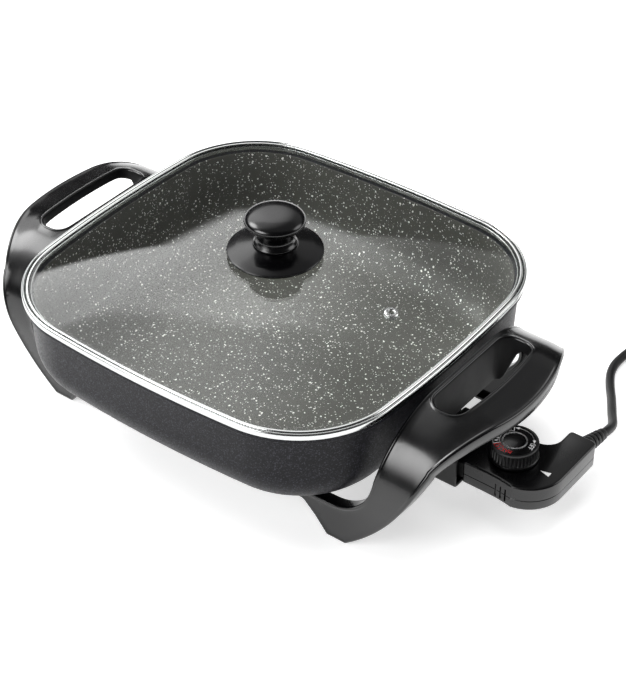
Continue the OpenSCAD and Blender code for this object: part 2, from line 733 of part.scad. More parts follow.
// The coil: two layers that wind in and out again, climbing where the spiral reverses
coil_pitch = cord_d + 0.7;
coil_turn_in = coil_turns / 2;
coil_r_in = coil_d / 2 - coil_pitch * coil_turn_in / 2;
coil_low = lead_r - cord_d / 10;
coil_start_angle = 165;
coil_c = [236, 225];
function coil_r(t) = coil_r_in + coil_pitch * abs(t - coil_turn_in);
function coil_z(t) = let (u = (t - coil_turn_in + 0.25) * 2)
    coil_low + coil_pitch * (u <= 0 ? 0 : u >= 1 ? 1 : (1 - cos(180 * u)) / 2);
function coil_at(t) = let (a = coil_start_angle - 360 * t)
    [coil_c[0] + coil_r(t) * cos(a), coil_c[1] + coil_r(t) * sin(a), coil_z(t)];
coil_rings = 24;
coil_path = [for (k = [0:coil_turns * coil_rings]) coil_at(k / coil_rings)];
coil_least = min([for (k = [0:len(coil_path) - 1], j = [k + 12:1:len(coil_path) - 1])
    norm(coil_path[k] - coil_path[j])]) - cord_d;
echo(coil_least_gap = coil_least);
cord_points = [relief_tip, [231, 82, 30], [228, 95, 25], [218, 113, 18.4], [205, 136, 10.6],
    [194, 154, 5.6], [186.4, 168, 3.6], [183, 179, 3.4], [182.4, 190, 3.3],
    [183.6, 204, 3], [187, 220, coil_low], coil_at(0)];
coil_end = coil_at(coil_turns);
tail_way = [sin(coil_start_angle), -cos(coil_start_angle), 0];

// ---- plug: a round moulded body lying on its side, two pins and an earth strip each side
plug_r = 18.6;
plug_at = [262, 322, plug_r + 0.2];
plug_turn = 20;
plug_l = 46;
plug_pin_y = 9.5;
tail_points = [coil_end, coil_end + 12 * tail_way - [0, 0, 1], [200.5, 266, 6],
    [206, 283, 4], [214, 297, 3.4], [225, 307.6, 5], [234, 312.4, 8.6], [243, 315.4, 13.6],
    [252, 318.4, 17.4], plug_at];
function path_length(p) = len(p) < 2 ? 0
    : let (d = [for (k = [1:len(p) - 1]) norm(p[k] - p[k - 1])]) d * [for (v = d) 1];
echo(lead_length = path_length(curve(cord_points, 3)) + path_length(coil_path)
    + path_length(curve(tail_points, 3)));

module floor_cut(low, high) {
    translate([low[0], low[1], -10]) cube([high[0] - low[0], high[1] - low[1], 10]);
}
module cord() {
    path = curve(cord_points, 4);
    color("#1c1c1e") difference() {
        swept_tube(path, lead_r, 8, relief_tip - relief_at,
            [sin(coil_start_angle), -cos(coil_start_angle), 0]);
        floor_cut([150, 60], [260, 260]);
    }
}
module cord_coil() {
    color("#1c1c1e") difference() {
        swept_tube(coil_path, lead_r, 6, tail_way, tail_way);
        floor_cut(coil_c - [80, 80], coil_c + [80, 80]);
    }
}
module cord_tie() {
    low = coil_r_in + coil_pitch / 2 - lead_r;
    high = coil_r_in + 1.5 * coil_pitch + lead_r;
    top = coil_low + coil_pitch + lead_r;
    strap = 0.8;
    color("#111112") translate([coil_c[0], coil_c[1], 0])
        rotate([90, 0, coil_start_angle - 180]) linear_extrude(5, center = true)
            difference() {
                rounded([low - strap, 0], [high + strap, top + strap], 2);
                rounded([low, strap], [high, top], 1.4);
            }
}
module cord_tail() {
    path = curve(tail_points, 4);
    color("#1c1c1e") difference() {
        swept_tube(path, lead_r, 8, tail_way, [cos(plug_turn), sin(plug_turn), 0.1]);
        floor_cut([180, 220], [290, 350]);
    }
}
module plug_place() { translate(plug_at) rotate([0, 90, plug_turn]) children(); }
module plug() {
    neck = 20;
    shell = 28;
    color("#1a1a1c") difference() {
        plug_place() rotate_extrude($fn = 96)
            polygon([[0, 0], [lead_r + 1.4, 0], [lead_r + 3.6, neck - 3], [11, neck],
                [plug_r - 3.4, neck + 4], [plug_r - 1, shell - 2], [plug_r, shell],
                [plug_r, plug_l - 1.2], [plug_r - 1.2, plug_l], [0, plug_l]]);
        for (side = [-1, 1]) plug_place()
            translate([side * (plug_r - 2.2) - (side < 0 ? 4 : 0), -4, shell])
                cube([4, 8, plug_l]);
        for (side = [-1, 1]) plug_place() translate([0, side * plug_pin_y, plug_l - 12])
            cylinder(h = 14, r = 2.4);
    }
}
module plug_pins() {
    color("#c9ccd0") for (side = [-1, 1]) plug_place()
        translate([0, side * plug_pin_y, plug_l - 12]) {
            cylinder(h = 29, r = 2.4);
            translate([0, 0, 29]) cylinder(h = 1.6, r1 = 2.4, r2 = 1.2);
        }
}
module plug_earth() {
    color("#c8a24a") for (side = [-1, 1]) plug_place()
        translate([side * (plug_r - 1.7) - 0.5, -3.2, 28]) cube([1, 6.4, plug_l - 30]);
}

pan();
heating_element();
element_pins();
pin_insulators();
terminal_guard();
guard_screws();
handle_right();
handle_left();
handle_screws();
lid_glass();
lid_band();
steam_vent();
knob();
knob_collar();
knob_screw();
knob_washer();
knob_gasket();
case_lower();
case_upper();
case_screws();
probe();
contact_carrier();
contact_sleeves();
bimetal_arm();
switch_block();
dial();
dial_face();
dial_shaft();
strain_relief();
cord();
cord_coil();
cord_tie();
cord_tail();
plug();
plug_pins();
plug_earth();
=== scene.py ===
import math

import bmesh
import bpy
from mathutils import Matrix, Vector, geometry


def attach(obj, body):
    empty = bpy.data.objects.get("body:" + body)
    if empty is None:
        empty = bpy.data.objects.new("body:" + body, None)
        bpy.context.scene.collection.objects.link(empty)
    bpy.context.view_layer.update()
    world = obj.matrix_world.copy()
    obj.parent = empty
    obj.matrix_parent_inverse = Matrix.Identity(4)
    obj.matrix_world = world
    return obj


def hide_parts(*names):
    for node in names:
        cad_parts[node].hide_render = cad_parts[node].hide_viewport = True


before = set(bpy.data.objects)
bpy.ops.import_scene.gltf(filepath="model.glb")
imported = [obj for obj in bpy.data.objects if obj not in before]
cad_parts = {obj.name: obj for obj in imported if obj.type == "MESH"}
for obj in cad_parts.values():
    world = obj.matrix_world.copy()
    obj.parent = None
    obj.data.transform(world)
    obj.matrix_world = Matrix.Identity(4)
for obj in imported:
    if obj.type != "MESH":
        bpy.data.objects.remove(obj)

bl_info = {
    "name": "Electric Skillet",
    "version": (1, 0, 0),
    "blender": (4, 5, 0),
    "location": "View3D > Sidebar > Skillet",
    "description": "Builds a square electric skillet with a glass lid and a plug-in thermostat",
    "category": "Object",
}

MM = 0.001

# Sizes are in millimetres and angles in degrees, except where a comment says otherwise.

# The rim's outline: corner arcs and bowed sides, tangent where the long side of a
# 237, 3116, 3125 triangle points
LEAN_SIN, LEAN_COS = 0.07584, 0.99712
LEAN = math.degrees(math.asin(LEAN_SIN))
SIDE_GAP, HALF_RIM = (900.0, 975.0), 155.0
CORNER_STEPS, SIDE_STEPS = 22, 14

# Heights and insets of the pan; the rings of its floor and underside end FLOOR_MIDDLE
# outward from the rim's outline, and a cap closes each
PAN_BASE_Z, PAN_WALL, PAN_BOTTOM_R, PAN_LIP_Z = 38.0, 4.0, 33.0, 108.9
WALL_INSET, LIP_INSET, LIP_WIDTH, LIP_H, LEDGE_DROP = 6.0, 0.6, 5.0, 3.3, 3.5
FLOOR_MIDDLE = -60.0
ELEMENT_Z, RIB_R, ELEMENT_FAR = 33.6, 6.6, 112.5
ELEMENT_COS, ELEMENT_SIN, TERMINAL_X, TERMINAL_Y = 0.936, 0.352, 147.5, 15.0
WELL_AT, WELL_L = (51.0, 0.0, 34.0), 96.0
BOSS_X, BOSS_BEND_X, BOSS_HALF_Y, BOSS_Z = 118.0, 126.6, 24.0, (26.0, 36.0, 41.5, 46.0)
POST_R, POST_Z = 7.0, (30.0, 39.0)

# Lid and knob
BAND_TOP_Z, BAND_WALL, DOME_Z, GLASS_T = 113.5, 0.7, 131.0, 3.2
GLASS_EDGE_Z = BAND_TOP_Z - BAND_WALL
DOME_SHARE, GLASS_SHARE = 0.962, 0.9955
VENT_X, VENT_HOLE_R, BOLT_HOLE_R = 100.0, 3.3, 3.4
PLATE_TOP_Z = DOME_Z + 7.8
KNOB_RIM_Z, KNOB_DOME_H, KNOB_DOME_STEPS = PLATE_TOP_Z + 19.0, 6.5, 16

# Handles
GRIP_Z, LEG_Y, GRIP_BEND_R, GRIP_X = 107.0, 96.4, 63.0, 215.0
GRIP_FLAT, GRIP_BEND_L = LEG_Y - GRIP_BEND_R, GRIP_BEND_R * math.pi / 2
FALL_X, FALL_SLOPE, FALL_BLEND = 187.0, 0.2126, 6.0
CROWN_Z, PLAN_CENTRE_X = 81.4, 65.0
LEG_OUTER, LEG_OUTER_R = (30.0, 132.0), 168.0
LEG_INNER, LEG_INNER_R, INNER_TOP_X, INNER_RISE = (119.5, 64.0), 33.5, 158.5, 47.0
SLOT_X, SLOT_HALF_Y, SLOT_CORNER_R, SLOT_BOW_R = (163.5, 190.0), 47.0, 10.0, 300.0
SKIN, SIDE_DEPTH, EDGE_WALL, SLOT_DEPTH = 4.0, 9.0, 2.8, 34.0
FOOT_SCREW = (96.0, 84.0)
PAD_X, PAD_Y, PAD_Z = (88.2, 106.0), (74.6, 94.0), (22.2, 30.0)

# Terminal guard, thermostat and its dial
GUARD_HALF_Y, GUARD_Z, GUARD_WALL, GUARD_END_X = 27.0, (22.0, 48.0), 2.5, 175.0
CASE_LOW_Z, CASE_SEAM_Z, CASE_TOP_Z, SEAM_GROOVE = 27.0, 35.0, 46.0, 0.35
CASE_ROUND, CASE_ROUND_R, CASE_TURN_Y = (213.0, 3.4), 27.8, -24.1
CASE_BACK_X, CASE_LEAD_Y = 177.5, 50.0
POINTER_TIP, POINTER_L, POINTER_HALF = (224.6, 1.2), 7.4, 2.1
DIAL_AT, DIAL_TOP_Z, DIAL_FACE_DROP, PRINT_LINE = (202.0, 3.0), 60.0, 0.12, 0.5
RELIEF_AT, RELIEF_TILT, RELIEF_L = (231.0, 50.0, 38.0), 14.0, 26.0

# The lead, its coil and its plug
LEAD_D = 6.8
LEAD_R, COIL_PITCH = LEAD_D / 2, LEAD_D + 0.7
COIL_CENTRE, COIL_START, COIL_TURNS, COIL_D, COIL_STEPS = (236.0, 225.0), 165.0, 4, 76.0, 48
COIL_IN_R = COIL_D / 2 - COIL_PITCH * COIL_TURNS / 4
PLUG_AT, PLUG_TURN, PLUG_R, PLUG_L = (262.0, 322.0, 18.8), 20.0, 18.6, 46.0

# The photograph's camera, the floor and the lamp, in metres
CAMERA_AT, CAMERA_BACK, SENSOR_MM = (0.6808, -0.8514, 0.8948), (0.4787, -0.6293, 0.6122), 36
FLOOR_REACH = 40.0
LAMP_AT, LAMP_AIM, LAMP_SIDE, LAMP_WATTS = (0.0, 0.1, 2.2), (0, 0, 0.1), 1.3, 24

# Lights painted on the sky. Each is the product of smooth ramps, over the cosine to a
# direction (azimuth, elevation), or over the height where that is None:
# (direction, from, to, low, high)
SKY_LIGHTS = (
    # a pale wall behind on the left
    ((None, 0.42, 0.46, 0, 1), (None, 0.735, 0.765, 1.0, 0.55),
     ((168, 34), 0.68, 0.98, 0.3, 2.5), ((125, 30), 0.0, 0.4, 0, 1)),
    # soft lights on the left, in front and on the right
    (((-168, 46), 0.955, 0.985, 0, 8.0), (None, 0.83, 0.79, 0, 1),
     ((120, 0), 0.0, 0.08, 0, 1)),
    (((-119, 36), 0.88, 0.97, 0, 1), (None, 0.745, 0.70, 0, 1), (None, 0.02, 0.6, 0.4, 8.5),
     ((-40, 0), -0.02, 0.08, 0, 1)),
    (((45, 28), 0.94, 0.985, 0, 2.5),),
)


# ---- shapes

def arc(centre, radius, start, end, steps):
    """Points on an arc, both ends included."""
    angles = [math.radians(start + (end - start) * k / steps) for k in range(steps + 1)]
    return [(centre[0] + radius * math.cos(a), centre[1] + radius * math.sin(a))
            for a in angles]


def rim_outline(outward, corner_r, share=1.0):
    """Points round the rim's outline, counter-clockwise from the +X side, moved outward and
    then scaled by share."""
    cx, cy = SIDE_GAP[1] * LEAN_SIN, SIDE_GAP[0] * LEAN_SIN
    side_x, side_y = cx - SIDE_GAP[0] * LEAN_COS, cy - SIDE_GAP[1] * LEAN_COS
    quarters = (((side_x, 0), (cx, cy)), ((0, side_y), (-cx, cy)),
                ((-side_x, 0), (-cx, -cy)), ((0, -side_y), (cx, -cy)))
    points = []
    for k, (side, corner) in enumerate(quarters):
        start = 90 * k
        points += arc(side, SIDE_GAP[k % 2] + corner_r + outward, start - LEAN, start + LEAN,
                      SIDE_STEPS)[:-1]
        points += arc(corner, corner_r + outward, start + LEAN, start + 90 - LEAN,
                      CORNER_STEPS)[:-1]
    return [(x * share, y * share) for x, y in points]


def rounded(points, steps=4, closed=False):
    """A line of (x, y) or (x, y, radius) points with an arc at each one that has a radius."""
    out = []
    count = len(points)
    for k, p in enumerate(points):
        radius = p[2] if len(p) > 2 else 0
        here = Vector(p[:2])
        if radius <= 0 or (not closed and k in (0, count - 1)):
            out.append(tuple(here))
            continue
        before = (Vector(points[k - 1][:2]) - here).normalized()
        after = (Vector(points[(k + 1) % count][:2]) - here).normalized()
        half = before.angle(after) / 2
        reach = radius / math.tan(half)
        centre = here + (before + after).normalized() * radius / math.sin(half)
        a, b = (here + way * reach - centre for way in (before, after))
        turn = a.angle_signed(b)
        out += [tuple(centre + Matrix.Rotation(-turn * j / steps, 2) @ a)
                for j in range(steps + 1)]
    return out


def rounded_rect(low, high, radius):
    """A rectangle's line with rounded corners, counter-clockwise."""
    corners = (low, (high[0], low[1]), high, (low[0], high[1]))
    return rounded([(x, y, radius) for x, y in corners], 6, closed=True)


def inset_line(points, inset, least):
    """A closed counter-clockwise line moved inward, each side parallel to itself; its radii
    shrink with it, but not below least."""
    out = []
    count = len(points)
    for k, p in enumerate(points):
        a, b, c = (Vector(points[(k + j) % count][:2]) for j in (-1, 0, 1))
        n1 = Vector((-(b - a).y, (b - a).x)).normalized()
        n2 = Vector((-(c - b).y, (c - b).x)).normalized()
        mid = n1 + n2
        mid = mid / max(mid.length_squared / 2, 0.3)
        out.append((*(b + mid * inset), *(max(r - inset, least) for r in p[2:])))
    return out


def bridge(rings, closed=False):
    """Vertices and faces of rings with equal counts, joined in order. Both ends are capped,
    or the last ring is joined to the first."""
    count = len(rings[0])
    verts = [p for ring in rings for p in ring]
    faces = []
    for i in range(len(rings) if closed else len(rings) - 1):
        a, b = i * count, (i + 1) % len(rings) * count
        for k in range(count):
            j = (k + 1) % count
            faces.append((a + k, a + j, b + j, b + k))
    if not closed:
        faces.append(tuple(range(count - 1, -1, -1)))
        faces.append(tuple(range(len(verts) - count, len(verts))))
    return verts, faces


def lathe(profile, steps=96, closed=False):
    """A profile of (radius, height) turned about Z."""
    return bridge([[(x, y, z) for x, y in arc((0, 0), r, 0, 360, steps)[:-1]]
                   for r, z in profile], closed)


def tube(path, radius, sides):
    """A round tube along a path of points, its ends closed."""
    last = len(path) - 1
    section = arc((0, 0), radius, 180 / sides, 180 / sides + 360, sides)[:-1]
    rings = []
    side = None
    for k, here in enumerate(path):
        way = (Vector(path[min(k + 1, last)]) - Vector(path[max(k - 1, 0)])).normalized()
        if side is None:
            side = way.cross(Vector((0, 0, 1)))
        side = (side - way * side.dot(way)).normalized()
        up = side.cross(way)
        rings.append([tuple(Vector(here) + side * x + up * y) for x, y in section])
    return bridge(rings)


def placed(shape, matrix):
    """A shape's vertices moved by a matrix."""
    verts, faces = shape
    return [tuple(matrix @ Vector(v)) for v in verts], faces


def joined(*shapes):
    """Several shapes as one list of vertices and faces."""
    verts, faces = [], []
    for v, f in shapes:
        base = len(verts)
        verts += v
        faces += [tuple(base + k for k in face) for face in f]
    return verts, faces


def block(low, high, radius):
    """A box from low to high whose edges are all rounded."""
    steps = 3
    radius = min(radius, *((h - l) / 2.001 for l, h in zip(low, high)))
    stops = [(radius - y, radius - x) for x, y in arc((0, 0), radius, 0, 90, steps)]
    levels = [(inset, low[2] + drop) for inset, drop in stops]
    levels += [(inset, high[2] - drop) for inset, drop in reversed(stops)]
    mid_x, mid_y = ((l + radius, h - radius) for l, h in zip(low[:2], high[:2]))
    corners = [(mid_x[0], mid_y[0]), (mid_x[1], mid_y[0]), (mid_x[1], mid_y[1]),
               (mid_x[0], mid_y[1])]
    rings = []
    for inset, z in levels:
        ring = []
        for k, corner in enumerate(corners):
            ring += arc(corner, max(radius - inset, 0.02), 180 + 90 * k, 270 + 90 * k, steps)
        rings.append([(x, y, z) for x, y in ring])
    return bridge(rings)


# ---- meshes

def clean_mesh(name, shape, marks=()):
    """A shape in millimetres as a mesh in metres, its doubles merged and normals outward;
    marks number each face's material."""
    verts, faces = shape
    mesh = bpy.data.meshes.new(name)
    mesh.from_pydata([tuple(c * MM for c in v) for v in verts], [], faces)
    if marks:
        mesh.polygons.foreach_set("material_index", marks)
    form = bmesh.new()
    form.from_mesh(mesh)
    bmesh.ops.remove_doubles(form, verts=form.verts, dist=0.004 * MM)
    bmesh.ops.dissolve_degenerate(form, edges=form.edges, dist=0.001 * MM)
    bmesh.ops.recalc_face_normals(form, faces=form.faces)
    form.to_mesh(mesh)
    form.free()
    return mesh


def shade(mesh, sharp):
    """Smooth shading that keeps edges crisp where they turn by more than sharp."""
    mesh.shade_smooth()
    mesh.set_sharp_from_angle(angle=math.radians(sharp))


def make_piece(name, shape, finishes, body, slot, *replaces, marks=(), sharp=32):
    """A mesh object with its finishes, riding on a body and standing for CAD nodes."""
    mesh = clean_mesh(name, shape, marks)
    for finish in finishes.split():
        mesh.materials.append(material(finish))
    shade(mesh, sharp)
    piece = bpy.data.objects.new(name, mesh)
    bpy.context.scene.collection.objects.link(piece)
    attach(piece, body)
    if replaces:
        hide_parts(*replaces)
    return piece


def cut(piece, shapes, sharp=32):
    """Cuts closed shapes out of a piece and keeps the result as its mesh."""
    tool = bpy.data.objects.new("cutter", clean_mesh("cutter", joined(*shapes)))
    bpy.context.scene.collection.objects.link(tool)
    change = piece.modifiers.new("cut", "BOOLEAN")
    change.operation, change.solver, change.object = "DIFFERENCE", "EXACT", tool
    bpy.context.view_layer.update()
    done = bpy.data.meshes.new_from_object(
        piece.evaluated_get(bpy.context.evaluated_depsgraph_get()))
    piece.modifiers.remove(change)
    spare = (piece.data, tool.data)
    piece.data = done
    bpy.data.objects.remove(tool)
    for mesh in spare:
        bpy.data.meshes.remove(mesh)
    shade(done, sharp)


# ---- materials

def colour(hex_value, share=1.0):
    """An sRGB hex value as the linear colour that a socket holds, share times as bright."""
    parts = [int(hex_value[k:k + 2], 16) / 255 for k in (1, 3, 5)]
    parts = [c / 12.92 if c <= 0.04045 else ((c + 0.055) / 1.055) ** 2.4 for c in parts]
    return (*(min(share * c, 1.0) for c in parts), 1.0)


def feed(tree, node, inputs):
    """Sets inputs to values or links them; a node there stands for its first output."""
    for name, source in inputs.items():
        if isinstance(source, bpy.types.Node):
            source = next(out for out in source.outputs if out.enabled)
        if isinstance(source, bpy.types.NodeSocket):
            tree.links.new(source, node.inputs[name])
        else:
            node.inputs[name].default_value = source


def add_node(tree, kind, inputs=None, **settings):
    """One node with its settings and links."""
    node = tree.nodes.new("ShaderNode" + kind)
    for key, value in settings.items():
        setattr(node, key, value)
    feed(tree, node, inputs or {})
    return node


def new_material(name, **sockets):
    """A material with one Principled shader, its sockets set: (material, tree, shader, the
    object's coordinates)."""
    made = bpy.data.materials.new(name)
    made.use_nodes = True
    tree = made.node_tree
    shader = tree.nodes["Principled BSDF"]
    feed(tree, shader, {key.replace("_", " "): value for key, value in sockets.items()})
    return made, tree, shader, add_node(tree, "TexCoord").outputs["Object"]


def speckle_mask(tree, coords, size_mm, share, seed):
    """Irregular flecks in cells of size_mm, up to 0.6 of it across; share of the cells hold
    one, of every size down to a dot."""
    shift = add_node(tree, "Mapping",
                     {"Vector": coords, "Location": (seed, seed * 0.7, seed * 1.3)})
    wobble = add_node(tree, "TexNoise", {"Vector": shift, "Scale": 900 / size_mm, "Detail": 2.0})
    lean = add_node(tree, "VectorMath",
                    {0: wobble.outputs["Color"], "Scale": 0.55 * size_mm * MM}, operation="SCALE")
    bent = add_node(tree, "VectorMath", {0: shift, 1: lean}, operation="ADD")
    cells = add_node(tree, "TexVoronoi",
                     {"Vector": bent, "Scale": 1000 / size_mm, "Randomness": 1.0})
    pick = add_node(tree, "SeparateColor", {"Color": cells.outputs["Color"]})
    chosen = add_node(tree, "MapRange", {"Value": pick, "From Min": 0.0, "From Max": share,
                                         "To Min": 0.31, "To Max": 0.07})
    inside = add_node(tree, "Math", {0: chosen, 1: cells}, operation="SUBTRACT")
    return add_node(tree, "MapRange", {"Value": inside, "From Min": 0.0, "From Max": 0.05})


def granite_coating(colours):
    """Non-stick enamel sprayed on the cast floor: a grey-green ground with thrown white and
    pale grey flecks, an orange-peel skin, a soft sheen."""
    made, tree, shader, coords = new_material(
        "granite_nonstick_sprayed", Roughness=0.42, IOR=1.5, Specular_IOR_Level=0.45)
    cloud_mm, grit_mm, peel_mm = 26.3, 5 / 7, 1.923
    cloud = add_node(tree, "TexNoise",
                     {"Vector": coords, "Scale": 1000 / cloud_mm, "Detail": 4.0})
    ground = add_node(tree, "Mix", {"Factor": cloud, "A": colour(colours.granite_dark),
                                    "B": colour(colours.granite_ground)}, data_type="RGBA")
    grit = add_node(tree, "TexNoise",
                    {"Vector": coords, "Scale": 1000 / grit_mm, "Detail": 2.0})
    layer = add_node(tree, "Mix", {"Factor": 0.22, "A": ground, "B": grit.outputs["Color"]},
                     data_type="RGBA", blend_type="OVERLAY")
    for size_mm, share, seed, fleck in ((1.6, 0.45, 0.0, colours.fleck_grey),
                                        (1.9, 0.70, 0.31, colours.fleck_white),
                                        (2.9, 0.45, 0.77, colours.fleck_white)):
        mask = speckle_mask(tree, coords, size_mm, share, seed)
        layer = add_node(tree, "Mix", {"Factor": mask, "A": layer, "B": colour(fleck)},
                         data_type="RGBA")
    peel = add_node(tree, "TexNoise",
                    {"Vector": coords, "Scale": 1000 / peel_mm, "Detail": 3.0})
    bump = add_node(tree, "Bump", {"Height": peel, "Strength": 0.12, "Distance": 0.2 * MM})
    feed(tree, shader, {"Base Color": layer, "Normal": bump})
    return made


def pan_coating(colours):
    """Outside of the pan: charcoal sprayed coat with fine metal flake, satin."""
    made, tree, shader, coords = new_material(
        "charcoal_metal_flake_sprayed", Roughness=0.38, IOR=1.5, Specular_IOR_Level=0.12)
    # real flake is finer than a pixel, so it is drawn about 0.7 mm across to show
    flake_mm, cloud_mm = 5 / 7, 16.67
    flake = add_node(tree, "TexVoronoi", {"Vector": coords, "Scale": 1000 / flake_mm})
    pick = add_node(tree, "SeparateColor", {"Color": flake.outputs["Color"]})
    bright = add_node(tree, "MapRange", {"Value": pick.outputs["Green"],
                                         "From Min": 0.72, "From Max": 1.0})
    cloud = add_node(tree, "TexNoise",
                     {"Vector": coords, "Scale": 1000 / cloud_mm, "Detail": 3.0})
    ground = add_node(tree, "Mix", {"Factor": cloud, "A": colour(colours.pan_dark),
                                    "B": colour(colours.pan_light)}, data_type="RGBA")
    paint = add_node(tree, "Mix", {"Factor": bright, "A": ground,
                                   "B": colour(colours.pan_flake)}, data_type="RGBA")
    sheen = add_node(tree, "MapRange", {"Value": pick.outputs["Blue"],
                                        "To Min": 0.3, "To Max": 0.5})
    bump = add_node(tree, "Bump", {"Height": flake, "Strength": 0.1, "Distance": 0.1 * MM})
    feed(tree, shader, {"Base Color": paint, "Roughness": sheen, "Normal": bump})
    return made


def metal(name, hex_value, roughness, grain_mm):
    """A bare metal: lines or grain grain_mm apart vary its tone, roughness and height."""
    made, tree, shader, coords = new_material(name, Metallic=1.0, Roughness=roughness)
    spread = 0.08
    lines = add_node(tree, "TexNoise",
                     {"Vector": coords, "Scale": 1000 / grain_mm, "Detail": 3.0})
    rough = add_node(tree, "MapRange", {"Value": lines, "To Min": max(roughness - spread, 0.03),
                                        "To Max": roughness + spread})
    tone = add_node(tree, "Mix", {"Factor": lines, "A": colour(hex_value, 0.86),
                                  "B": colour(hex_value)}, data_type="RGBA")
    bump = add_node(tree, "Bump", {"Height": lines, "Strength": 0.08, "Distance": 0.05 * MM})
    feed(tree, shader, {"Base Color": tone, "Roughness": rough, "Normal": bump})
    return made


def moulded(name, hex_value, roughness, grain_mm, grain, coat=0.0, specular=0.5):
    """A moulded plastic or rubber: flow marks vary its sheen and tone, a fine grain its
    height."""
    made, tree, shader, coords = new_material(
        name, Roughness=roughness, IOR=1.5, Coat_Weight=coat, Coat_Roughness=0.06,
        Specular_IOR_Level=specular)
    spread, flow_mm = 0.05, 22.2
    flow = add_node(tree, "TexNoise",
                    {"Vector": coords, "Scale": 1000 / flow_mm, "Detail": 4.0})
    rough = add_node(tree, "MapRange", {"Value": flow, "From Min": 0.3, "From Max": 0.7,
                                        "To Min": max(roughness - spread, 0.02),
                                        "To Max": roughness + spread})
    tone = add_node(tree, "Mix", {"Factor": flow, "A": colour(hex_value, 0.8),
                                  "B": colour(hex_value, 1.2)}, data_type="RGBA")
    fine = add_node(tree, "TexNoise",
                    {"Vector": coords, "Scale": 1000 / grain_mm, "Detail": 2.0})
    bump = add_node(tree, "Bump", {"Height": fine, "Strength": grain, "Distance": 0.1 * MM})
    feed(tree, shader, {"Base Color": tone, "Roughness": rough, "Normal": bump})
    return made


def pressed_glass():
    """Tempered soda-lime glass, pressed and fire-polished: clear, faintly green, very slightly
    uneven. Light passes it without a dark shadow."""
    made, tree, shader, coords = new_material(
        "tempered_glass_pressed", Base_Color=colour("#f9fbfa"), Roughness=0.0, IOR=1.5,
        Transmission_Weight=1.0)
    wave_mm = 71.4
    wave = add_node(tree, "TexNoise",
                    {"Vector": coords, "Scale": 1000 / wave_mm, "Detail": 1.0})
    bump = add_node(tree, "Bump", {"Height": wave, "Strength": 0.03, "Distance": 0.3 * MM})
    feed(tree, shader, {"Normal": bump})
    clear = add_node(tree, "BsdfTransparent", {"Color": colour("#f6f8f6")})
    shadow = add_node(tree, "LightPath").outputs["Is Shadow Ray"]
    mixed = add_node(tree, "MixShader", {0: shadow, 1: shader, 2: clear})
    feed(tree, tree.nodes["Material Output"], {"Surface": mixed})
    return made


def make_materials(colours):
    """Every material of the skillet, by the name of its finish."""
    return {
        "granite": granite_coating(colours),
        "pan_coat": pan_coating(colours),
        "glass": pressed_glass(),
        # turned bare after coating: a bright line with a faint grain
        "lip": metal("aluminium_turned_lip", "#dfe0df", 0.2, 0.6),
        # rolled and polished: long, nearly clear reflections
        "band": metal("stainless_band_polished", "#d3d5d4", 0.16, 0.9),
        # pressed from sheet: bright, a little softer than the band
        "vent": metal("stainless_eyelet_pressed", "#e6e7e6", 0.26, 0.6),
        # plated and turned: cool grey with a satin shine
        "steel": metal("zinc_plated_steel_turned", "#bfc2c4", 0.3, 0.5),
        # drawn and scaled by heat: dull brown grey
        "heater": metal("heater_sheath_drawn", "#77736c", 0.45, 0.4),
        # stamped: yellow with a satin shine
        "brass": metal("brass_stamped", "#c9a35a", 0.3, 0.5),
        # moulded in a polished tool: deep black with broad soft highlights
        "phenolic": moulded("phenolic_compression_moulded", "#030304", 0.2, 0.5, 0.03, 0.2),
        # the mould's core is left eroded, so the slot's walls are matt
        "phenolic_matt": moulded("phenolic_eroded_core", "#030304", 0.55, 0.5, 0.1,
                                 specular=0.2),
        # glossy black, its highlights a little blurred
        "case": moulded("abs_gloss_moulded", "#040405", 0.24, 0.5, 0.03, 0.2),
        # satin black, so the flutes read as soft lines
        "dial": moulded("abs_satin_moulded", "#050506", 0.34, 0.5, 0.05),
        # grained and matt
        "guard": moulded("pbt_matt_moulded", "#060607", 0.5, 0.4, 0.1),
        # extruded round the cores: dull black with a dim long highlight
        "lead": moulded("pvc_lead_extruded", "#08080a", 0.46, 0.5, 0.08),
        # grained for the hand: duller than the lead
        "plug": moulded("pvc_plug_moulded", "#09090b", 0.5, 0.4, 0.12),
        # ink pressed through a screen: flat and even
        "print_white": moulded("white_print_screened", "#fafafa", 0.5, 0.3, 0.05),
        "print_red": moulded("red_print_screened", "#e5262e", 0.5, 0.3, 0.05),
        # pressed and fired: cream, dry
        "ceramic": moulded("steatite_pressed", "#d9d2c0", 0.55, 0.3, 0.1),
        # moulded soft: grey, no shine
        "rubber": moulded("silicone_moulded", "#85857f", 0.6, 0.4, 0.1),
    }


MATERIALS = {}


def material(finish):
    """The material of a finish; all are made at the first call."""
    if not MATERIALS:
        MATERIALS.update(make_materials(bpy.context.scene.skillet_colours))
    return MATERIALS[finish]


# ---- sizes and colours

class SkilletSizes(bpy.types.PropertyGroup):
    """Sizes that a user would change, in millimetres of the real object."""
    corner_r: bpy.props.FloatProperty(
        name="Corner radius", description="Radius of a corner of the rim", default=78.4,
        min=70, max=85)
    knob_r: bpy.props.FloatProperty(
        name="Knob radius", description="Radius of the knob's cap", default=21.8, min=15, max=25)
    collar_r: bpy.props.FloatProperty(
        name="Collar radius", description="Radius of the plate under the knob", default=34.4,
        min=25, max=40)
    dial_r: bpy.props.FloatProperty(
        name="Dial radius", description="Radius of the temperature dial", default=16.7,
        min=12, max=20)
    flutes: bpy.props.IntProperty(
        name="Flutes", description="Flutes round the dial", default=36, min=12, max=60)


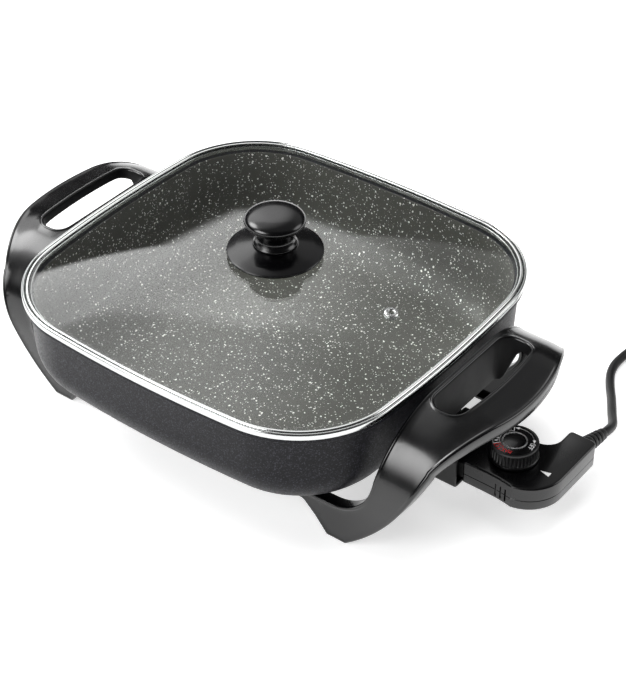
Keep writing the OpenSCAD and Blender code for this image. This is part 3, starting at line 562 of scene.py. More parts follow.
class SkilletColours(bpy.types.PropertyGroup):
    """Colours of the coatings, as sRGB hex values."""
    granite_ground: bpy.props.StringProperty(
        name="Granite ground", description="Lighter ground of the inside", default="#4a4945")
    granite_dark: bpy.props.StringProperty(
        name="Granite shade", description="Darker ground of the inside", default="#3d3c38")
    fleck_white: bpy.props.StringProperty(
        name="White fleck", description="Thrown white flecks", default="#f6f6f1")
    fleck_grey: bpy.props.StringProperty(
        name="Grey fleck", description="Small grey flecks", default="#9b9c96")
    pan_dark: bpy.props.StringProperty(
        name="Pan shade", description="Darker tone of the outside", default="#111114")
    pan_light: bpy.props.StringProperty(
        name="Pan ground", description="Lighter tone of the outside", default="#151518")
    pan_flake: bpy.props.StringProperty(
        name="Pan flake", description="Metal flake of the outside", default="#36363d")


class SkilletStudio(bpy.types.PropertyGroup):
    """Camera and light."""
    focal_mm: bpy.props.FloatProperty(
        name="Focal length", description="Lens of the photograph's view", default=99.68,
        min=20, max=200, unit="CAMERA")
    world: bpy.props.FloatProperty(
        name="Room light", description="Strength of the dim room", default=0.05, min=0, max=3)


# ---- pan

def pan_profile():
    """The pan's wall from the middle of the floor inside, over the lip, to its underside:
    (outward from the rim's outline, height)."""
    bend = (-WALL_INSET - PAN_BOTTOM_R, PAN_BASE_Z + PAN_BOTTOM_R)
    lip_in, lip_out = -LIP_INSET - LIP_WIDTH, -LIP_INSET
    ledge_z, lip_low_z = PAN_LIP_Z - LEDGE_DROP, PAN_LIP_Z - LIP_H
    cavity = -WALL_INSET - PAN_WALL
    rim = rounded([(cavity, bend[1]), (cavity + 0.6, ledge_z, 0.5), (lip_in, ledge_z, 0.3),
                   (lip_in, PAN_LIP_Z, 0.4), (lip_out, PAN_LIP_Z, 0.6),
                   (lip_out, lip_low_z, 0.5), (-WALL_INSET + 1.4, lip_low_z - 2.2, 1.2),
                   (-WALL_INSET, bend[1])], 3)
    return ([(FLOOR_MIDDLE, PAN_BASE_Z + PAN_WALL)]
            + arc(bend, PAN_BOTTOM_R - PAN_WALL, -90, 0, 10) + rim[1:-1]
            + arc(bend, PAN_BOTTOM_R, 0, -90, 12) + [(FLOOR_MIDDLE, PAN_BASE_Z)])


def element_path():
    """The heating element's centre line, from one terminal round the ring to the other."""
    bend_x, bend_y = ELEMENT_FAR * ELEMENT_COS, ELEMENT_FAR * ELEMENT_SIN
    bend_r = bend_y - TERMINAL_Y
    gap = math.degrees(math.atan2(ELEMENT_SIN, ELEMENT_COS))
    half = [(TERMINAL_X, TERMINAL_Y)] + arc((bend_x, bend_y), bend_r, 270, 180 + gap, 8)
    ring = arc((0, 0), ELEMENT_FAR - bend_r, gap, 360 - gap, 72)[1:-1]
    line = half + ring + [(x, -y) for x, y in reversed(half)]
    return [(x, y, ELEMENT_Z) for x, y in line]


class SKILLET_OT_pan(bpy.types.Operator):
    """Cast pan with its coated inside, bare lip, ribs and bosses"""
    bl_idname = "skillet.pan"
    bl_label = "Pan"

    def execute(self, context):
        corner_r = context.scene.skillet_sizes.corner_r
        profile = pan_profile()
        rings = [[(x, y, z) for x, y in rim_outline(t, corner_r)] for t, z in profile]

        def mark(k):
            """Bare on top of the lip, granite inside the wall, else the outer coat."""
            out, z = ((a + b) / 2 for a, b in zip(profile[k], profile[k + 1]))
            if z > PAN_LIP_Z - 0.2:
                return 2
            return int(k < len(profile) / 2 and out < -WALL_INSET - PAN_WALL / 2)

        marks = [mark(k) for k in range(len(profile) - 1) for _ in rings[0]] + [1, 0]
        make_piece("pan_shell", bridge(rings), "pan_coat granite lip", "base", "cast_coating",
                   "pan", marks=marks, sharp=40)
        make_piece("pan_rib", tube(element_path(), RIB_R, 20), "pan_coat", "base",
                   "cast_coating")
        well = placed(lathe([(0, 0), (4, 0.4), (RIB_R - 1, 3), (RIB_R, 6), (RIB_R, WELL_L),
                             (0, WELL_L)]),
                      Matrix.Translation(WELL_AT) @ Matrix.Rotation(math.pi / 2, 4, "Y"))
        # the terminal boss stays below the floor and follows the wall's bend upwards
        boss = [block((x, -BOSS_HALF_Y, low), (TERMINAL_X, BOSS_HALF_Y, high), 2)
                for x, low, high in ((BOSS_X, BOSS_Z[0], BOSS_Z[2]),
                                     (BOSS_BEND_X, BOSS_Z[1], BOSS_Z[3]))]
        low, high = POST_Z
        post = lathe(rounded([(0, low), (POST_R, low, 0.8), (POST_R, high), (0, high)], 3))
        posts = [placed(post, Matrix.Translation((sx * FOOT_SCREW[0], sy * FOOT_SCREW[1], 0)))
                 for sx in (-1, 1) for sy in (-1, 1)]
        make_piece("pan_bosses", joined(well, *boss, *posts), "pan_coat", "base",
                   "cast_coating")
        return {"FINISHED"}


# ---- lid

def dome_height(share):
    """The glass's upper side at a share of the rim's outline: a flat edge under the band,
    then one even dome."""
    fall = min(share / DOME_SHARE, 1) ** 2
    return GLASS_EDGE_Z + (DOME_Z - GLASS_EDGE_Z) * (1 - fall)


def vent_place():
    """Where the steam hole is, its Z axis square to the glass."""
    share = VENT_X / HALF_RIM
    slope = 2 * (DOME_Z - GLASS_EDGE_Z) * share / (DOME_SHARE ** 2 * HALF_RIM)
    return (Matrix.Translation((VENT_X, 0, dome_height(share)))
            @ Matrix.Rotation(math.atan(slope), 4, "Y"))


class SKILLET_OT_lid(bpy.types.Operator):
    """Domed glass lid with its steel band and steam eyelet"""
    bl_idname = "skillet.lid"
    bl_label = "Lid"

    def execute(self, context):
        corner_r = context.scene.skillet_sizes.corner_r
        shares = [GLASS_SHARE, 0.975, DOME_SHARE, 0.95, 0.93]
        shares += [0.9 - 0.06 * k for k in range(15)] + [0.03]
        top = [[(x, y, dome_height(s)) for x, y in rim_outline(0, corner_r, s)] for s in shares]
        low = [[(x, y, z - GLASS_T) for x, y, z in ring] for ring in reversed(top)]
        glass = make_piece("lid_glass_dome", bridge(low + top), "glass", "lid", "clear_glass",
                           "lid_glass", sharp=60)
        hole = placed(lathe([(VENT_HOLE_R, -10), (VENT_HOLE_R, 10)], 48), vent_place())
        bolt = placed(lathe([(BOLT_HOLE_R, -10), (BOLT_HOLE_R, 10)], 32),
                      Matrix.Translation((0, 0, DOME_Z)))
        cut(glass, [hole, bolt], 60)

        flange, skirt_out, skirt_in, seat = 5.2, -6.6, -7.3, PAN_LIP_Z + 0.02
        top_z, edge_z, under_z = BAND_TOP_Z, GLASS_EDGE_Z, GLASS_EDGE_Z - GLASS_T
        # from the seat up the side, over a rolled bead, a shallow groove and a low inner bead
        profile = rounded([(0, seat, 0.5), (0, top_z, 1.5), (-1.75, top_z, 1.0),
                           (-2.1, top_z - 0.75, 0.3), (-3.0, top_z - 0.75, 0.3),
                           (-3.5, top_z - 0.1, 0.5), (-flange, top_z - 0.1, 0.5),
                           (-flange, edge_z), (-1.4, edge_z, 0.2), (-1.4, edge_z - 0.1, 0.2),
                           (-BAND_WALL, edge_z - 0.1, 0.3), (-BAND_WALL, under_z, 0.4),
                           (skirt_in, under_z, 0.3), (skirt_in, seat - 2.5, 0.2),
                           (skirt_out, seat - 2.5, 0.2), (skirt_out, seat, 0.2)],
                          closed=True)
        rings = [[(x, y, z) for x, y in rim_outline(t, corner_r)] for t, z in profile]
        make_piece("lid_band_rolled", bridge(rings, closed=True), "band", "lid", "lid_steel",
                   "lid_band", sharp=50)

        eyelet = rounded([(2, -GLASS_T - 1, 0.3), (5, -GLASS_T - 1, 0.3),
                          (5, -GLASS_T - 0.15, 0.2), (3.2, -GLASS_T - 0.15), (3.2, 0.1),
                          (5, 0.1, 0.2), (5, 0.8, 0.4), (4.2, 1.3, 0.5), (2.6, 1.3, 0.4),
                          (2, 0.7, 0.3)], closed=True)
        make_piece("steam_eyelet", placed(lathe(eyelet, 64, closed=True), vent_place()),
                   "vent", "lid", "lid_steel", "steam_vent", sharp=50)
        return {"FINISHED"}


class SKILLET_OT_knob(bpy.types.Operator):
    """Turned knob and the round plate beneath it"""
    bl_idname = "skillet.knob"
    bl_label = "Knob"

    def execute(self, context):
        sizes = context.scene.skillet_sizes
        plate_r, knob_r = sizes.collar_r, sizes.knob_r
        low, top = DOME_Z, PLATE_TOP_Z
        plate = rounded([(0, low), (13, low), (15, low + 1.2, 0.6), (plate_r - 2, low + 0.9, 0.5),
                         (plate_r, low + 1.0, 1.0), (plate_r, low + 3.1, 0.9),
                         (28, low + 5.0, 6), (16.5, top, 1), (0, top)], 5)
        make_piece("knob_plate", lathe(plate, 128), "phenolic", "lid", "phenolic",
                   "knob_collar")
        knob = rounded([(0, top), (15.2, top, 0.4), (16, top + 1.3, 0.9), (14.1, top + 3.1, 0.8),
                        (12.7, top + 5.6, 4), (13.2, top + 11.4, 4), (17.2, top + 15.0, 5),
                        (knob_r - 1.6, top + 16.4, 1.6), (knob_r, KNOB_RIM_Z)], 6)
        # the head's flattened dome, rounder towards its rim
        for k in range(1, KNOB_DOME_STEPS):
            t = math.pi / 2 * k / KNOB_DOME_STEPS
            knob.append((knob_r * math.cos(t) ** 0.62,
                         KNOB_RIM_Z + KNOB_DOME_H * math.sin(t) ** 0.9))
        knob.append((0, KNOB_RIM_Z + KNOB_DOME_H))
        make_piece("knob_turned", lathe(knob, 128), "phenolic", "lid", "phenolic", "knob",
                   sharp=50)
        return {"FINISHED"}


# ---- handles

def arch_point(s, depth):
    """(y, z) on the handle's arch: s along it from the middle, depth below its outer face."""
    side, along = math.copysign(1, s), abs(s)
    if along <= GRIP_FLAT:
        return side * along, GRIP_Z - depth
    if along <= GRIP_FLAT + GRIP_BEND_L:
        a = (along - GRIP_FLAT) / GRIP_BEND_R
        r = GRIP_BEND_R - depth
        return side * (GRIP_FLAT + r * math.sin(a)), GRIP_Z - GRIP_BEND_R + r * math.cos(a)
    return side * (LEG_Y - depth), GRIP_Z - GRIP_BEND_R - (along - GRIP_FLAT - GRIP_BEND_L)


def along_arch(z):
    """Distance along the arch from the middle to where its outer face is at height z."""
    low = GRIP_Z - GRIP_BEND_R
    if z <= low:
        return GRIP_FLAT + GRIP_BEND_L + low - z
    return GRIP_FLAT + GRIP_BEND_R * math.acos(min((z - low) / GRIP_BEND_R, 1))


def handle_edges(inset):
    """The handle's outline laid flat, (along the arch, x), counter-clockwise, moved inward."""
    leg_x, turn_z = LEG_INNER[0] + LEG_INNER_R, LEG_INNER[1]
    half = []
    # out along the inner edge, round the leg to the foot, and back along the outer edge
    for k in range(29):
        s = along_arch(turn_z) * k / 28
        half.append((s, leg_x + (INNER_TOP_X - leg_x) * (arch_point(s, 0)[1] - turn_z)
                     / INNER_RISE))
    half += [(along_arch(z), x) for x, z in arc(LEG_INNER, LEG_INNER_R, 0, -86, 16)[1:]]
    half += [(along_arch(z), *rest) for z, *rest in (
        (30.2, 112), (30, 88, 2), (22, 88, 2), (21.6, 98, 6), (12, 108), (0, 118, 1.5),
        (0, 133.9, 2))]
    for k in range(1, 21):
        z = CROWN_Z * k / 20
        half.append((along_arch(z),
                     LEG_OUTER[0] + math.sqrt(LEG_OUTER_R ** 2 - (LEG_OUTER[1] - z) ** 2)))
    for k in range(1, 30):
        s = along_arch(CROWN_Z) * (1 - k / 29)
        y = arch_point(s, 0)[0]
        half.append((s, PLAN_CENTRE_X + math.sqrt((GRIP_X - PLAN_CENTRE_X) ** 2 - y * y)))
    other = [(-p[0], *p[1:]) for p in reversed(half[1:-1])]
    return rounded(inset_line(half + other, inset, 0.25), closed=True)


def slot_edge(outset):
    """The finger slot's outline laid flat, clockwise, moved outward into the grip."""
    x0, x1, r = SLOT_X[0], SLOT_X[1], SLOT_CORNER_R
    end_y, bow_x, bow_r = SLOT_HALF_Y - r, x1 - SLOT_BOW_R, SLOT_BOW_R - r
    lean = math.degrees(math.asin(end_y / bow_r))
    far_x = bow_x + bow_r * math.cos(math.radians(lean))
    points = arc((x0 + r, -end_y), r + outset, 270, 180, 8)
    points += arc((x0 + r, end_y), r + outset, 180, 90, 8)
    points += arc((far_x, end_y), r + outset, 90, lean, 8)
    points += arc((bow_x, 0), SLOT_BOW_R + outset, lean, -lean, 20)[1:-1]
    points += arc((far_x, -end_y), r + outset, -lean, -90, 8)
    return [(y, x) for x, y in points]


def within(p, line):
    """Whether a point lies inside a closed line."""
    hit = False
    for k, b in enumerate(line):
        a = line[k - 1]
        if (a[1] > p[1]) != (b[1] > p[1]) and (
                p[0] < (b[0] - a[0]) * (p[1] - a[1]) / (b[1] - a[1]) + a[0]):
            hit = not hit
    return hit


def filled(outer, hole, spacing=4.0):
    """Triangles between an outer line and a hole, over a grid of points inside: the grid's
    points, and triangles that count the outer line's points, the hole's, then these."""
    points, edges = [], []
    for line in (outer, hole):
        base = len(points)
        points += [Vector(p[:2]) for p in line]
        edges += [(base + k, base + (k + 1) % len(line)) for k in range(len(line))]

    def between(p):
        return within(p, outer) and not within(p, hole)

    extra = []
    low, high = ([pick(p[k] for p in outer) for k in (0, 1)] for pick in (min, max))
    s = low[0] + spacing / 2
    while s < high[0]:
        x = low[1] + spacing / 2
        while x < high[1]:
            if between((s, x)) and all((q - Vector((s, x))).length > spacing * 0.55
                                       for q in points):
                extra.append((s, x))
            x += spacing
        s += spacing
    result = geometry.delaunay_2d_cdt(points + [Vector(p) for p in extra], edges, [], 1, 1e-5)
    verts, faces, origins = result[0], result[2], result[3]
    names = [o[0] if o else -1 for o in origins]
    kept = []
    for face in faces:
        middle = sum((verts[k] for k in face), Vector((0, 0))) / len(face)
        if between(middle) and all(names[k] >= 0 for k in face):
            kept.append(tuple(names[k] for k in face))
    return extra, kept


def slot_wall_depth(x, depth):
    """The slot's wall hangs deep on the pan's side and ends just under the skin outside."""
    if depth <= SKIN:
        return depth
    share = min(max((SLOT_X[0] + 13 - x) / 11, 0), 1)
    return SKIN + (depth - SKIN) * (0.12 + 0.88 * share * share * (3 - 2 * share))


def handle_shape(side):
    """The moulded handle: a ribbon over the arch, with turned-in edges and a finger slot."""
    # (moved inward, depth) from the top face over a raised round bead, down the side and
    # round to the face behind
    bead = [(3.2, 0.0), (2.8, -0.1), (2.3, -0.42), (1.7, -0.6), (1.1, -0.5), (0.55, -0.12),
            (0.18, 0.45), (0.0, 1.3)]

    def edge_steps(deep):
        return bead + [(0, deep - 0.8), (0.25, deep - 0.2), (0.8, deep),
                       (EDGE_WALL - 0.6, deep), (EDGE_WALL, deep - 0.6),
                       (EDGE_WALL, SKIN + 0.8), (EDGE_WALL + 0.3, SKIN)]

    def to_space(s, x, depth):
        y, z = arch_point(s, depth)
        beyond = x - FALL_X
        fall = FALL_SLOPE * (beyond + math.sqrt(beyond * beyond + FALL_BLEND ** 2)) / 2
        return (side * x, y, z - fall)

    verts, faces, edges = [], [], []
    for make, deep in ((handle_edges, SIDE_DEPTH), (slot_edge, SLOT_DEPTH)):
        steps = edge_steps(deep)
        lines = [make(inset) for inset, depth in steps]
        base, count = len(verts), len(lines[0])
        for line, (inset, depth) in zip(lines, steps):
            verts += [to_space(p[0], p[1], depth if make is handle_edges
                               else slot_wall_depth(p[1], depth)) for p in line]
        for a in range(base, base + (len(lines) - 1) * count, count):
            for k in range(count):
                j = (k + 1) % count
                faces.append((a + k, a + count + k, a + count + j, a + j))
        edges.append(((base, lines[0]), (len(verts) - count, lines[-1])))
    for (outer_at, outer), (slot_at, slot), depth in zip(edges[0], edges[1], (0.0, SKIN)):
        extra, triangles = filled(outer, slot)
        index = [*range(outer_at, outer_at + len(outer)), *range(slot_at, slot_at + len(slot)),
                 *range(len(verts), len(verts) + len(extra))]
        verts += [to_space(s, x, depth) for s, x in extra]
        faces += [tuple(index[k] for k in t) for t in triangles]
    return verts, faces


class SKILLET_OT_handles(bpy.types.Operator):
    """Both moulded handles with their feet and the pads screwed under the pan"""
    bl_idname = "skillet.handles"
    bl_label = "Handles"

    def execute(self, context):
        for name, side in (("handle_right", 1), ("handle_left", -1)):
            piece = make_piece(name + "_moulding", handle_shape(side),
                               "phenolic phenolic_matt", "base", "phenolic", name, sharp=45)
            # the mould's core forms the walls of the finger slot
            for face in piece.data.polygons:
                at = face.center / MM
                face.material_index = int(
                    SLOT_X[0] - 5 < abs(at.x) < SLOT_X[1] + 5
                    and abs(at.y) < SLOT_HALF_Y + 5 and face.normal.z < 0.6)
            pads = []
            for sy in (-1, 1):
                (x0, x1), (y0, y1) = sorted(side * x for x in PAD_X), sorted(sy * y for y in PAD_Y)
                pads.append(block((x0, y0, PAD_Z[0]), (x1, y1, PAD_Z[1]), 1.2))
            make_piece(name + "_pads", joined(*pads), "phenolic", "base", "phenolic")
        return {"FINISHED"}


# ---- thermostat

class SKILLET_OT_guard(bpy.types.Operator):
    """Open-ended guard round the terminals"""
    bl_idname = "skillet.guard"
    bl_label = "Terminal guard"

    def execute(self, context):
        half_y, (low, high), wall, end = GUARD_HALF_Y, GUARD_Z, GUARD_WALL, GUARD_END_X
        steps = [(0.8, TERMINAL_X), (0, TERMINAL_X + 0.8), (0, end - 0.9), (0.3, end - 0.25),
                 (0.9, end), (wall - 0.6, end), (wall, end - 0.6), (wall, TERMINAL_X + 2.5)]
        rings = []
        for inset, x in steps:
            line = rounded_rect((-half_y + inset, low + inset), (half_y - inset, high - inset),
                                max(4 - inset, 1.2))
            rings.append([(x, y, z) for y, z in line])
        make_piece("guard_moulding", bridge(rings), "guard", "base", "matte_black",
                   "terminal_guard")
        return {"FINISHED"}


def case_ring(inset, z):
    """The thermostat housing's outline from above, counter-clockwise, moved inward."""
    (round_x, round_y), r = CASE_ROUND, CASE_ROUND_R
    turn = math.degrees(math.asin((CASE_TURN_Y - round_y) / r))
    # along the front, round the dial's end, and back over the step beside the lead
    line = [(CASE_BACK_X, -22, 1.5), (196, -22), (206, -22.4), (213, -23.3),
            (217.4, CASE_TURN_Y, 0.8)]
    line += arc(CASE_ROUND, r, turn + 3, 0, 16)
    line += [(round_x + r, CASE_LEAD_Y, 5), (219, CASE_LEAD_Y, 3)]
    line += arc((207, 38), 12, 0, -90, 8) + [(CASE_BACK_X, 26, 1.5)]
    return [(x, y, z) for x, y in rounded(inset_line(line, inset, 0.3), 5, closed=True)]


def case_edge(radius, z, upward):
    """(moved inward, height) steps over a rounded edge, from the face at z to the side."""
    return [(radius - y, z - upward * (radius - x)) for x, y in arc((0, 0), radius, 0, 90, 5)]


class SKILLET_OT_thermostat(bpy.types.Operator):
    """Two-part thermostat housing with finger ridges and the pointer mark"""
    bl_idname = "skillet.thermostat"
    bl_label = "Thermostat housing"

    def execute(self, context):
        seam = [(SEAM_GROOVE, CASE_SEAM_Z)]
        low = case_edge(1.4, CASE_LOW_Z, -1) + [(0, CASE_SEAM_Z - SEAM_GROOVE)] + seam
        high = seam + [(0, CASE_SEAM_Z + SEAM_GROOVE)] + case_edge(1.8, CASE_TOP_Z, 1)[::-1]
        notches = [block((x, -28, CASE_SEAM_Z - 5.5), (x + 1.4, -21.2, CASE_SEAM_Z + 5.0), 0.4)
                   for x in (204, 208, 212)]
        for half, steps in (("lower", low), ("upper", high)):
            cut(make_piece(f"case_{half}_shell", bridge([case_ring(*s) for s in steps]), "case",
                           "controller", "gloss_case", "case_" + half), notches)
        (tip_x, tip_y), back = POINTER_TIP, POINTER_TIP[0] + POINTER_L
        rings = [[(tip_x, tip_y, z), (back, tip_y - POINTER_HALF, z),
                  (back, tip_y + POINTER_HALF, z)] for z in (CASE_TOP_Z - 0.2, CASE_TOP_Z + 0.06)]
        make_piece("case_pointer", bridge(rings), "print_white", "controller", "dial_print")
        return {"FINISHED"}


# Strokes of the figures on the dial, each a line through a 2 by 4 grid
FIGURES = {
    "1": [[(0.4, 3.1), (1.1, 4), (1.1, 0)]],
    "2": [[(0, 3.2), (0.4, 3.9), (1.6, 3.9), (2, 3.2), (1.9, 2.4), (0, 0), (2, 0)]],
    "3": [[(0, 4), (2, 4), (0.9, 2.5), (1.8, 2.1), (2, 1.2), (1.5, 0.1), (0.4, 0), (0, 0.7)]],
    "4": [[(1.5, 0), (1.5, 4), (0, 1.3), (2, 1.3)]],
    "5": [[(1.9, 4), (0.2, 4), (0.1, 2.4), (1.4, 2.5), (2, 1.6), (1.8, 0.4), (0.9, 0),
           (0, 0.3)]],
    "O": [[(0.5, 4), (1.5, 4), (2, 3.2), (2, 0.8), (1.5, 0), (0.5, 0), (0, 0.8), (0, 3.2),
           (0.5, 4)]],
    "F": [[(0, 0), (0, 4), (2, 4)], [(0, 2.1), (1.6, 2.1)]],
    "M": [[(0, 0), (0, 4), (1, 1.6), (2, 4), (2, 0)]],
    "A": [[(0, 0), (1, 4), (2, 0)], [(0.4, 1.4), (1.6, 1.4)]],
    "X": [[(0, 0), (2, 4)], [(0, 4), (2, 0)]],
}

# The boxed figures and the angle of each from +X
BOXED_FIGURES = (("5", 243), ("4", 216), ("3", 189), ("2", 162), ("1", 135))


def stroke(points):
    """A flat line through points, as one quad for each stretch."""
    verts, faces = [], []
    for a, b in zip(points, points[1:]):
        a, b = Vector(a), Vector(b)
        way = (b - a).normalized() * PRINT_LINE
        side = Vector((-way.y, way.x)) / 2
        a, b = a - way * 0.35, b + way * 0.35
        base = len(verts)
        verts += [tuple(a - side), tuple(b - side), tuple(b + side), tuple(a + side)]
        faces.append((base, base + 1, base + 2, base + 3))
    return verts, faces


def figure(text, angle, radius, height):
    """A figure or word as flat strokes, its foot towards the middle of the dial."""
    unit, turn = height / 4, Matrix.Rotation(math.radians(angle - 90), 2)
    shapes = []
    for n, letter in enumerate(text):
        offset = (n - (len(text) - 1) / 2) * 2.9
        for line in FIGURES[letter]:
            verts, faces = stroke([((x - 1 + offset) * unit, y * unit + radius)
                                   for x, y in line])
            shapes.append(([tuple(turn @ Vector(v)) for v in verts], faces))
    return shapes


def ring_band(inner, outer, start, end, steps):
    """A flat strip between two radii and two angles."""
    both = zip(*(arc((0, 0), r, start, end, steps) for r in (inner, outer)))
    return [p for pair in both for p in pair], [(b, b + 1, b + 3, b + 2)
                                                for b in range(0, 2 * steps, 2)]


def arrow(angle, turn, radius, size):
    """A flat arrow head at the end of an arc, pointing along it."""
    a = math.radians(angle)
    out = Vector((math.cos(a), math.sin(a)))
    along = Vector((-out.y, out.x)) * turn
    tail, half = out * radius, out * size * 0.6
    corners = [tail + half, tail + along * size * 1.5, tail - half][::-turn]
    return [tuple(c) for c in corners], [(0, 1, 2)]


def raised(shape, z):
    """A flat shape as a thin layer of ink at height z."""
    verts, faces = shape
    count = len(verts)
    layers = [(x, y, z + lift) for lift in (0.05, -0.02) for x, y in verts]
    under = [tuple(k + count for k in reversed(f)) for f in faces]
    sides = [(a + count, b + count, b, a) for f in faces for a, b in zip(f, f[1:] + f[:1])]
    return layers, list(faces) + under + sides


def dial_print(r):
    """The dial's flat white and red shapes: a ring, boxed figures, an arc with arrow heads and
    plain words round the edge."""
    white, red = [ring_band(r * 0.465, r * 0.535, 0, 360, 96)], []
    half = 11.5
    for text, angle in BOXED_FIGURES:
        target = red if text == "5" else white
        for inner, outer in ((0.6, 0.635), (0.875, 0.91)):
            target.append(ring_band(r * inner, r * outer, angle - half, angle + half, 8))
        for side in (angle - half, angle + half):
            target.append(ring_band(r * 0.6, r * 0.91, side - 1.1, side + 1.1, 1))
        target += figure(text, angle, r * 0.675, r * 0.16)
    red += figure("MAX", 276, r * 0.66, r * 0.19)
    white.append(ring_band(r * 0.765, r * 0.805, 36, 108, 40))
    white += [arrow(angle, turn, r * 0.785, r * 0.12) for angle, turn in ((36, -1), (108, 1))]
    return white + figure("OFF", 6, r * 0.65, r * 0.19), red


class SKILLET_OT_dial(bpy.types.Operator):
    """Fluted dial with its printed face"""
    bl_idname = "skillet.dial"
    bl_label = "Dial"

    def execute(self, context):
        r, flutes = context.scene.skillet_sizes.dial_r, context.scene.skillet_sizes.flutes
        low, top = CASE_TOP_Z + 0.3, DIAL_TOP_Z
        # (radius, height, share of the flutes' depth)
        profile = [(0, low, 0), (r - 1, low, 0), (r + 0.3, low + 0.5, 0), (r + 0.6, low + 1, 0),
                   (r + 0.6, low + 2.4, 0), (r + 0.3, low + 2.8, 0), (r - 0.1, low + 3.0, 0.3),
                   (r - 0.1, low + 3.4, 1), (r - 0.1, top - 2.6, 1), (r, top - 2.2, 0.4),
                   (r, top - 1.9, 0), (r, top - 0.9, 0), (r - 0.2, top - 0.35, 0),
                   (r - 0.7, top, 0), (r - 1.2, top, 0), (r - 1.5, top - 0.15, 0),
                   (r - 1.6, top - 0.5, 0), (0, top - 0.5, 0)]
        angles = [2 * math.pi * k / (flutes * 10) for k in range(flutes * 10)]
        cuts = [0.9 * (1 - abs(math.sin(a * flutes / 2)) ** 0.7) for a in angles]
        rings = [[((radius - share * deep) * math.cos(a), (radius - share * deep) * math.sin(a),
                   z) for a, deep in zip(angles, cuts)] for radius, z, share in profile]
        place = Matrix.Translation((*DIAL_AT, 0))
        make_piece("dial_fluted", placed(bridge(rings), place), "dial", "dial_knob",
                   "gloss_case", "dial", sharp=35)
        face_r, face_z = r - 1.65, top - DIAL_FACE_DROP
        face = lathe(rounded([(0, top - 0.5), (face_r, top - 0.5), (face_r, face_z, 0.1),
                              (0, face_z)], 2))
        make_piece("dial_disc", placed(face, place), "case", "dial_knob", "dial_print",
                   "dial_face")
        for tint, shapes in zip(("white", "red"), dial_print(r)):
            solid = joined(*(raised(shape, face_z) for shape in shapes))
            make_piece("dial_print_" + tint, placed(solid, place), "print_" + tint,
                       "dial_knob", "dial_print")
        return {"FINISHED"}


# ---- lead

def coil_point(t):
    """The coil's centre line after t turns: wound inward, lifted by one pitch halfway, and
    outward again on top."""
    turns_in = COIL_TURNS / 2
    r = COIL_IN_R + COIL_PITCH * abs(t - turns_in)
    rise = min(max((t - turns_in + 0.25) * 2, 0), 1)
    z = LEAD_R + COIL_PITCH * (1 - math.cos(math.pi * rise)) / 2
    a = math.radians(COIL_START - 360 * t)
    return (COIL_CENTRE[0] + r * math.cos(a), COIL_CENTRE[1] + r * math.sin(a), z)


def lead_points():
    """Points of the lead from the strain relief down to the coil's start."""
    tilt = math.radians(RELIEF_TILT)
    tip = (RELIEF_AT[0], RELIEF_AT[1] + RELIEF_L * math.cos(tilt),
           RELIEF_AT[2] - RELIEF_L * math.sin(tilt))
    return [tip, (231, 82, 30), (228, 95, 25), (218, 113, 18.4), (205, 136, 10.6),
            (194, 154, 5.6), (186.4, 168, 3.6), (183, 179, LEAD_R), (182.4, 190, LEAD_R),
            (183.6, 204, LEAD_R), (187, 220, LEAD_R), coil_point(0)]


def tail_points():
    """Points of the lead from the coil's end to the plug."""
    end = Vector(coil_point(COIL_TURNS))
    a = math.radians(COIL_START)
    way = Vector((math.sin(a), -math.cos(a), 0))
    return [tuple(end), tuple(end + 12 * way - Vector((0, 0, 1))), (200.5, 266, 6),
            (206, 283, 4), (214, 297, LEAD_R), (225, 307.6, 5), (234, 312.4, 8.6),
            (243, 315.4, 13.6), (252, 318.4, 17.4), PLUG_AT]


def smooth_line(points, pieces=6):
    """A curve through points whose slope at each follows its neighbours."""
    p = [Vector(q) for q in points]
    last = len(p) - 1
    slopes = [(p[min(k + 1, last)] - p[max(k - 1, 0)]) / (2 if 0 < k < last else 1)
              for k in range(last + 1)]
    out = []
    for k in range(last):
        for t in (j / pieces for j in range(pieces)):
            out.append(p[k] * (2 * t ** 3 - 3 * t ** 2 + 1) + slopes[k] * (t ** 3 - 2 * t ** 2 + t)
                       + p[k + 1] * (3 * t ** 2 - 2 * t ** 3) + slopes[k + 1] * (t ** 3 - t ** 2))
    return [tuple(q) for q in out + [p[-1]]]


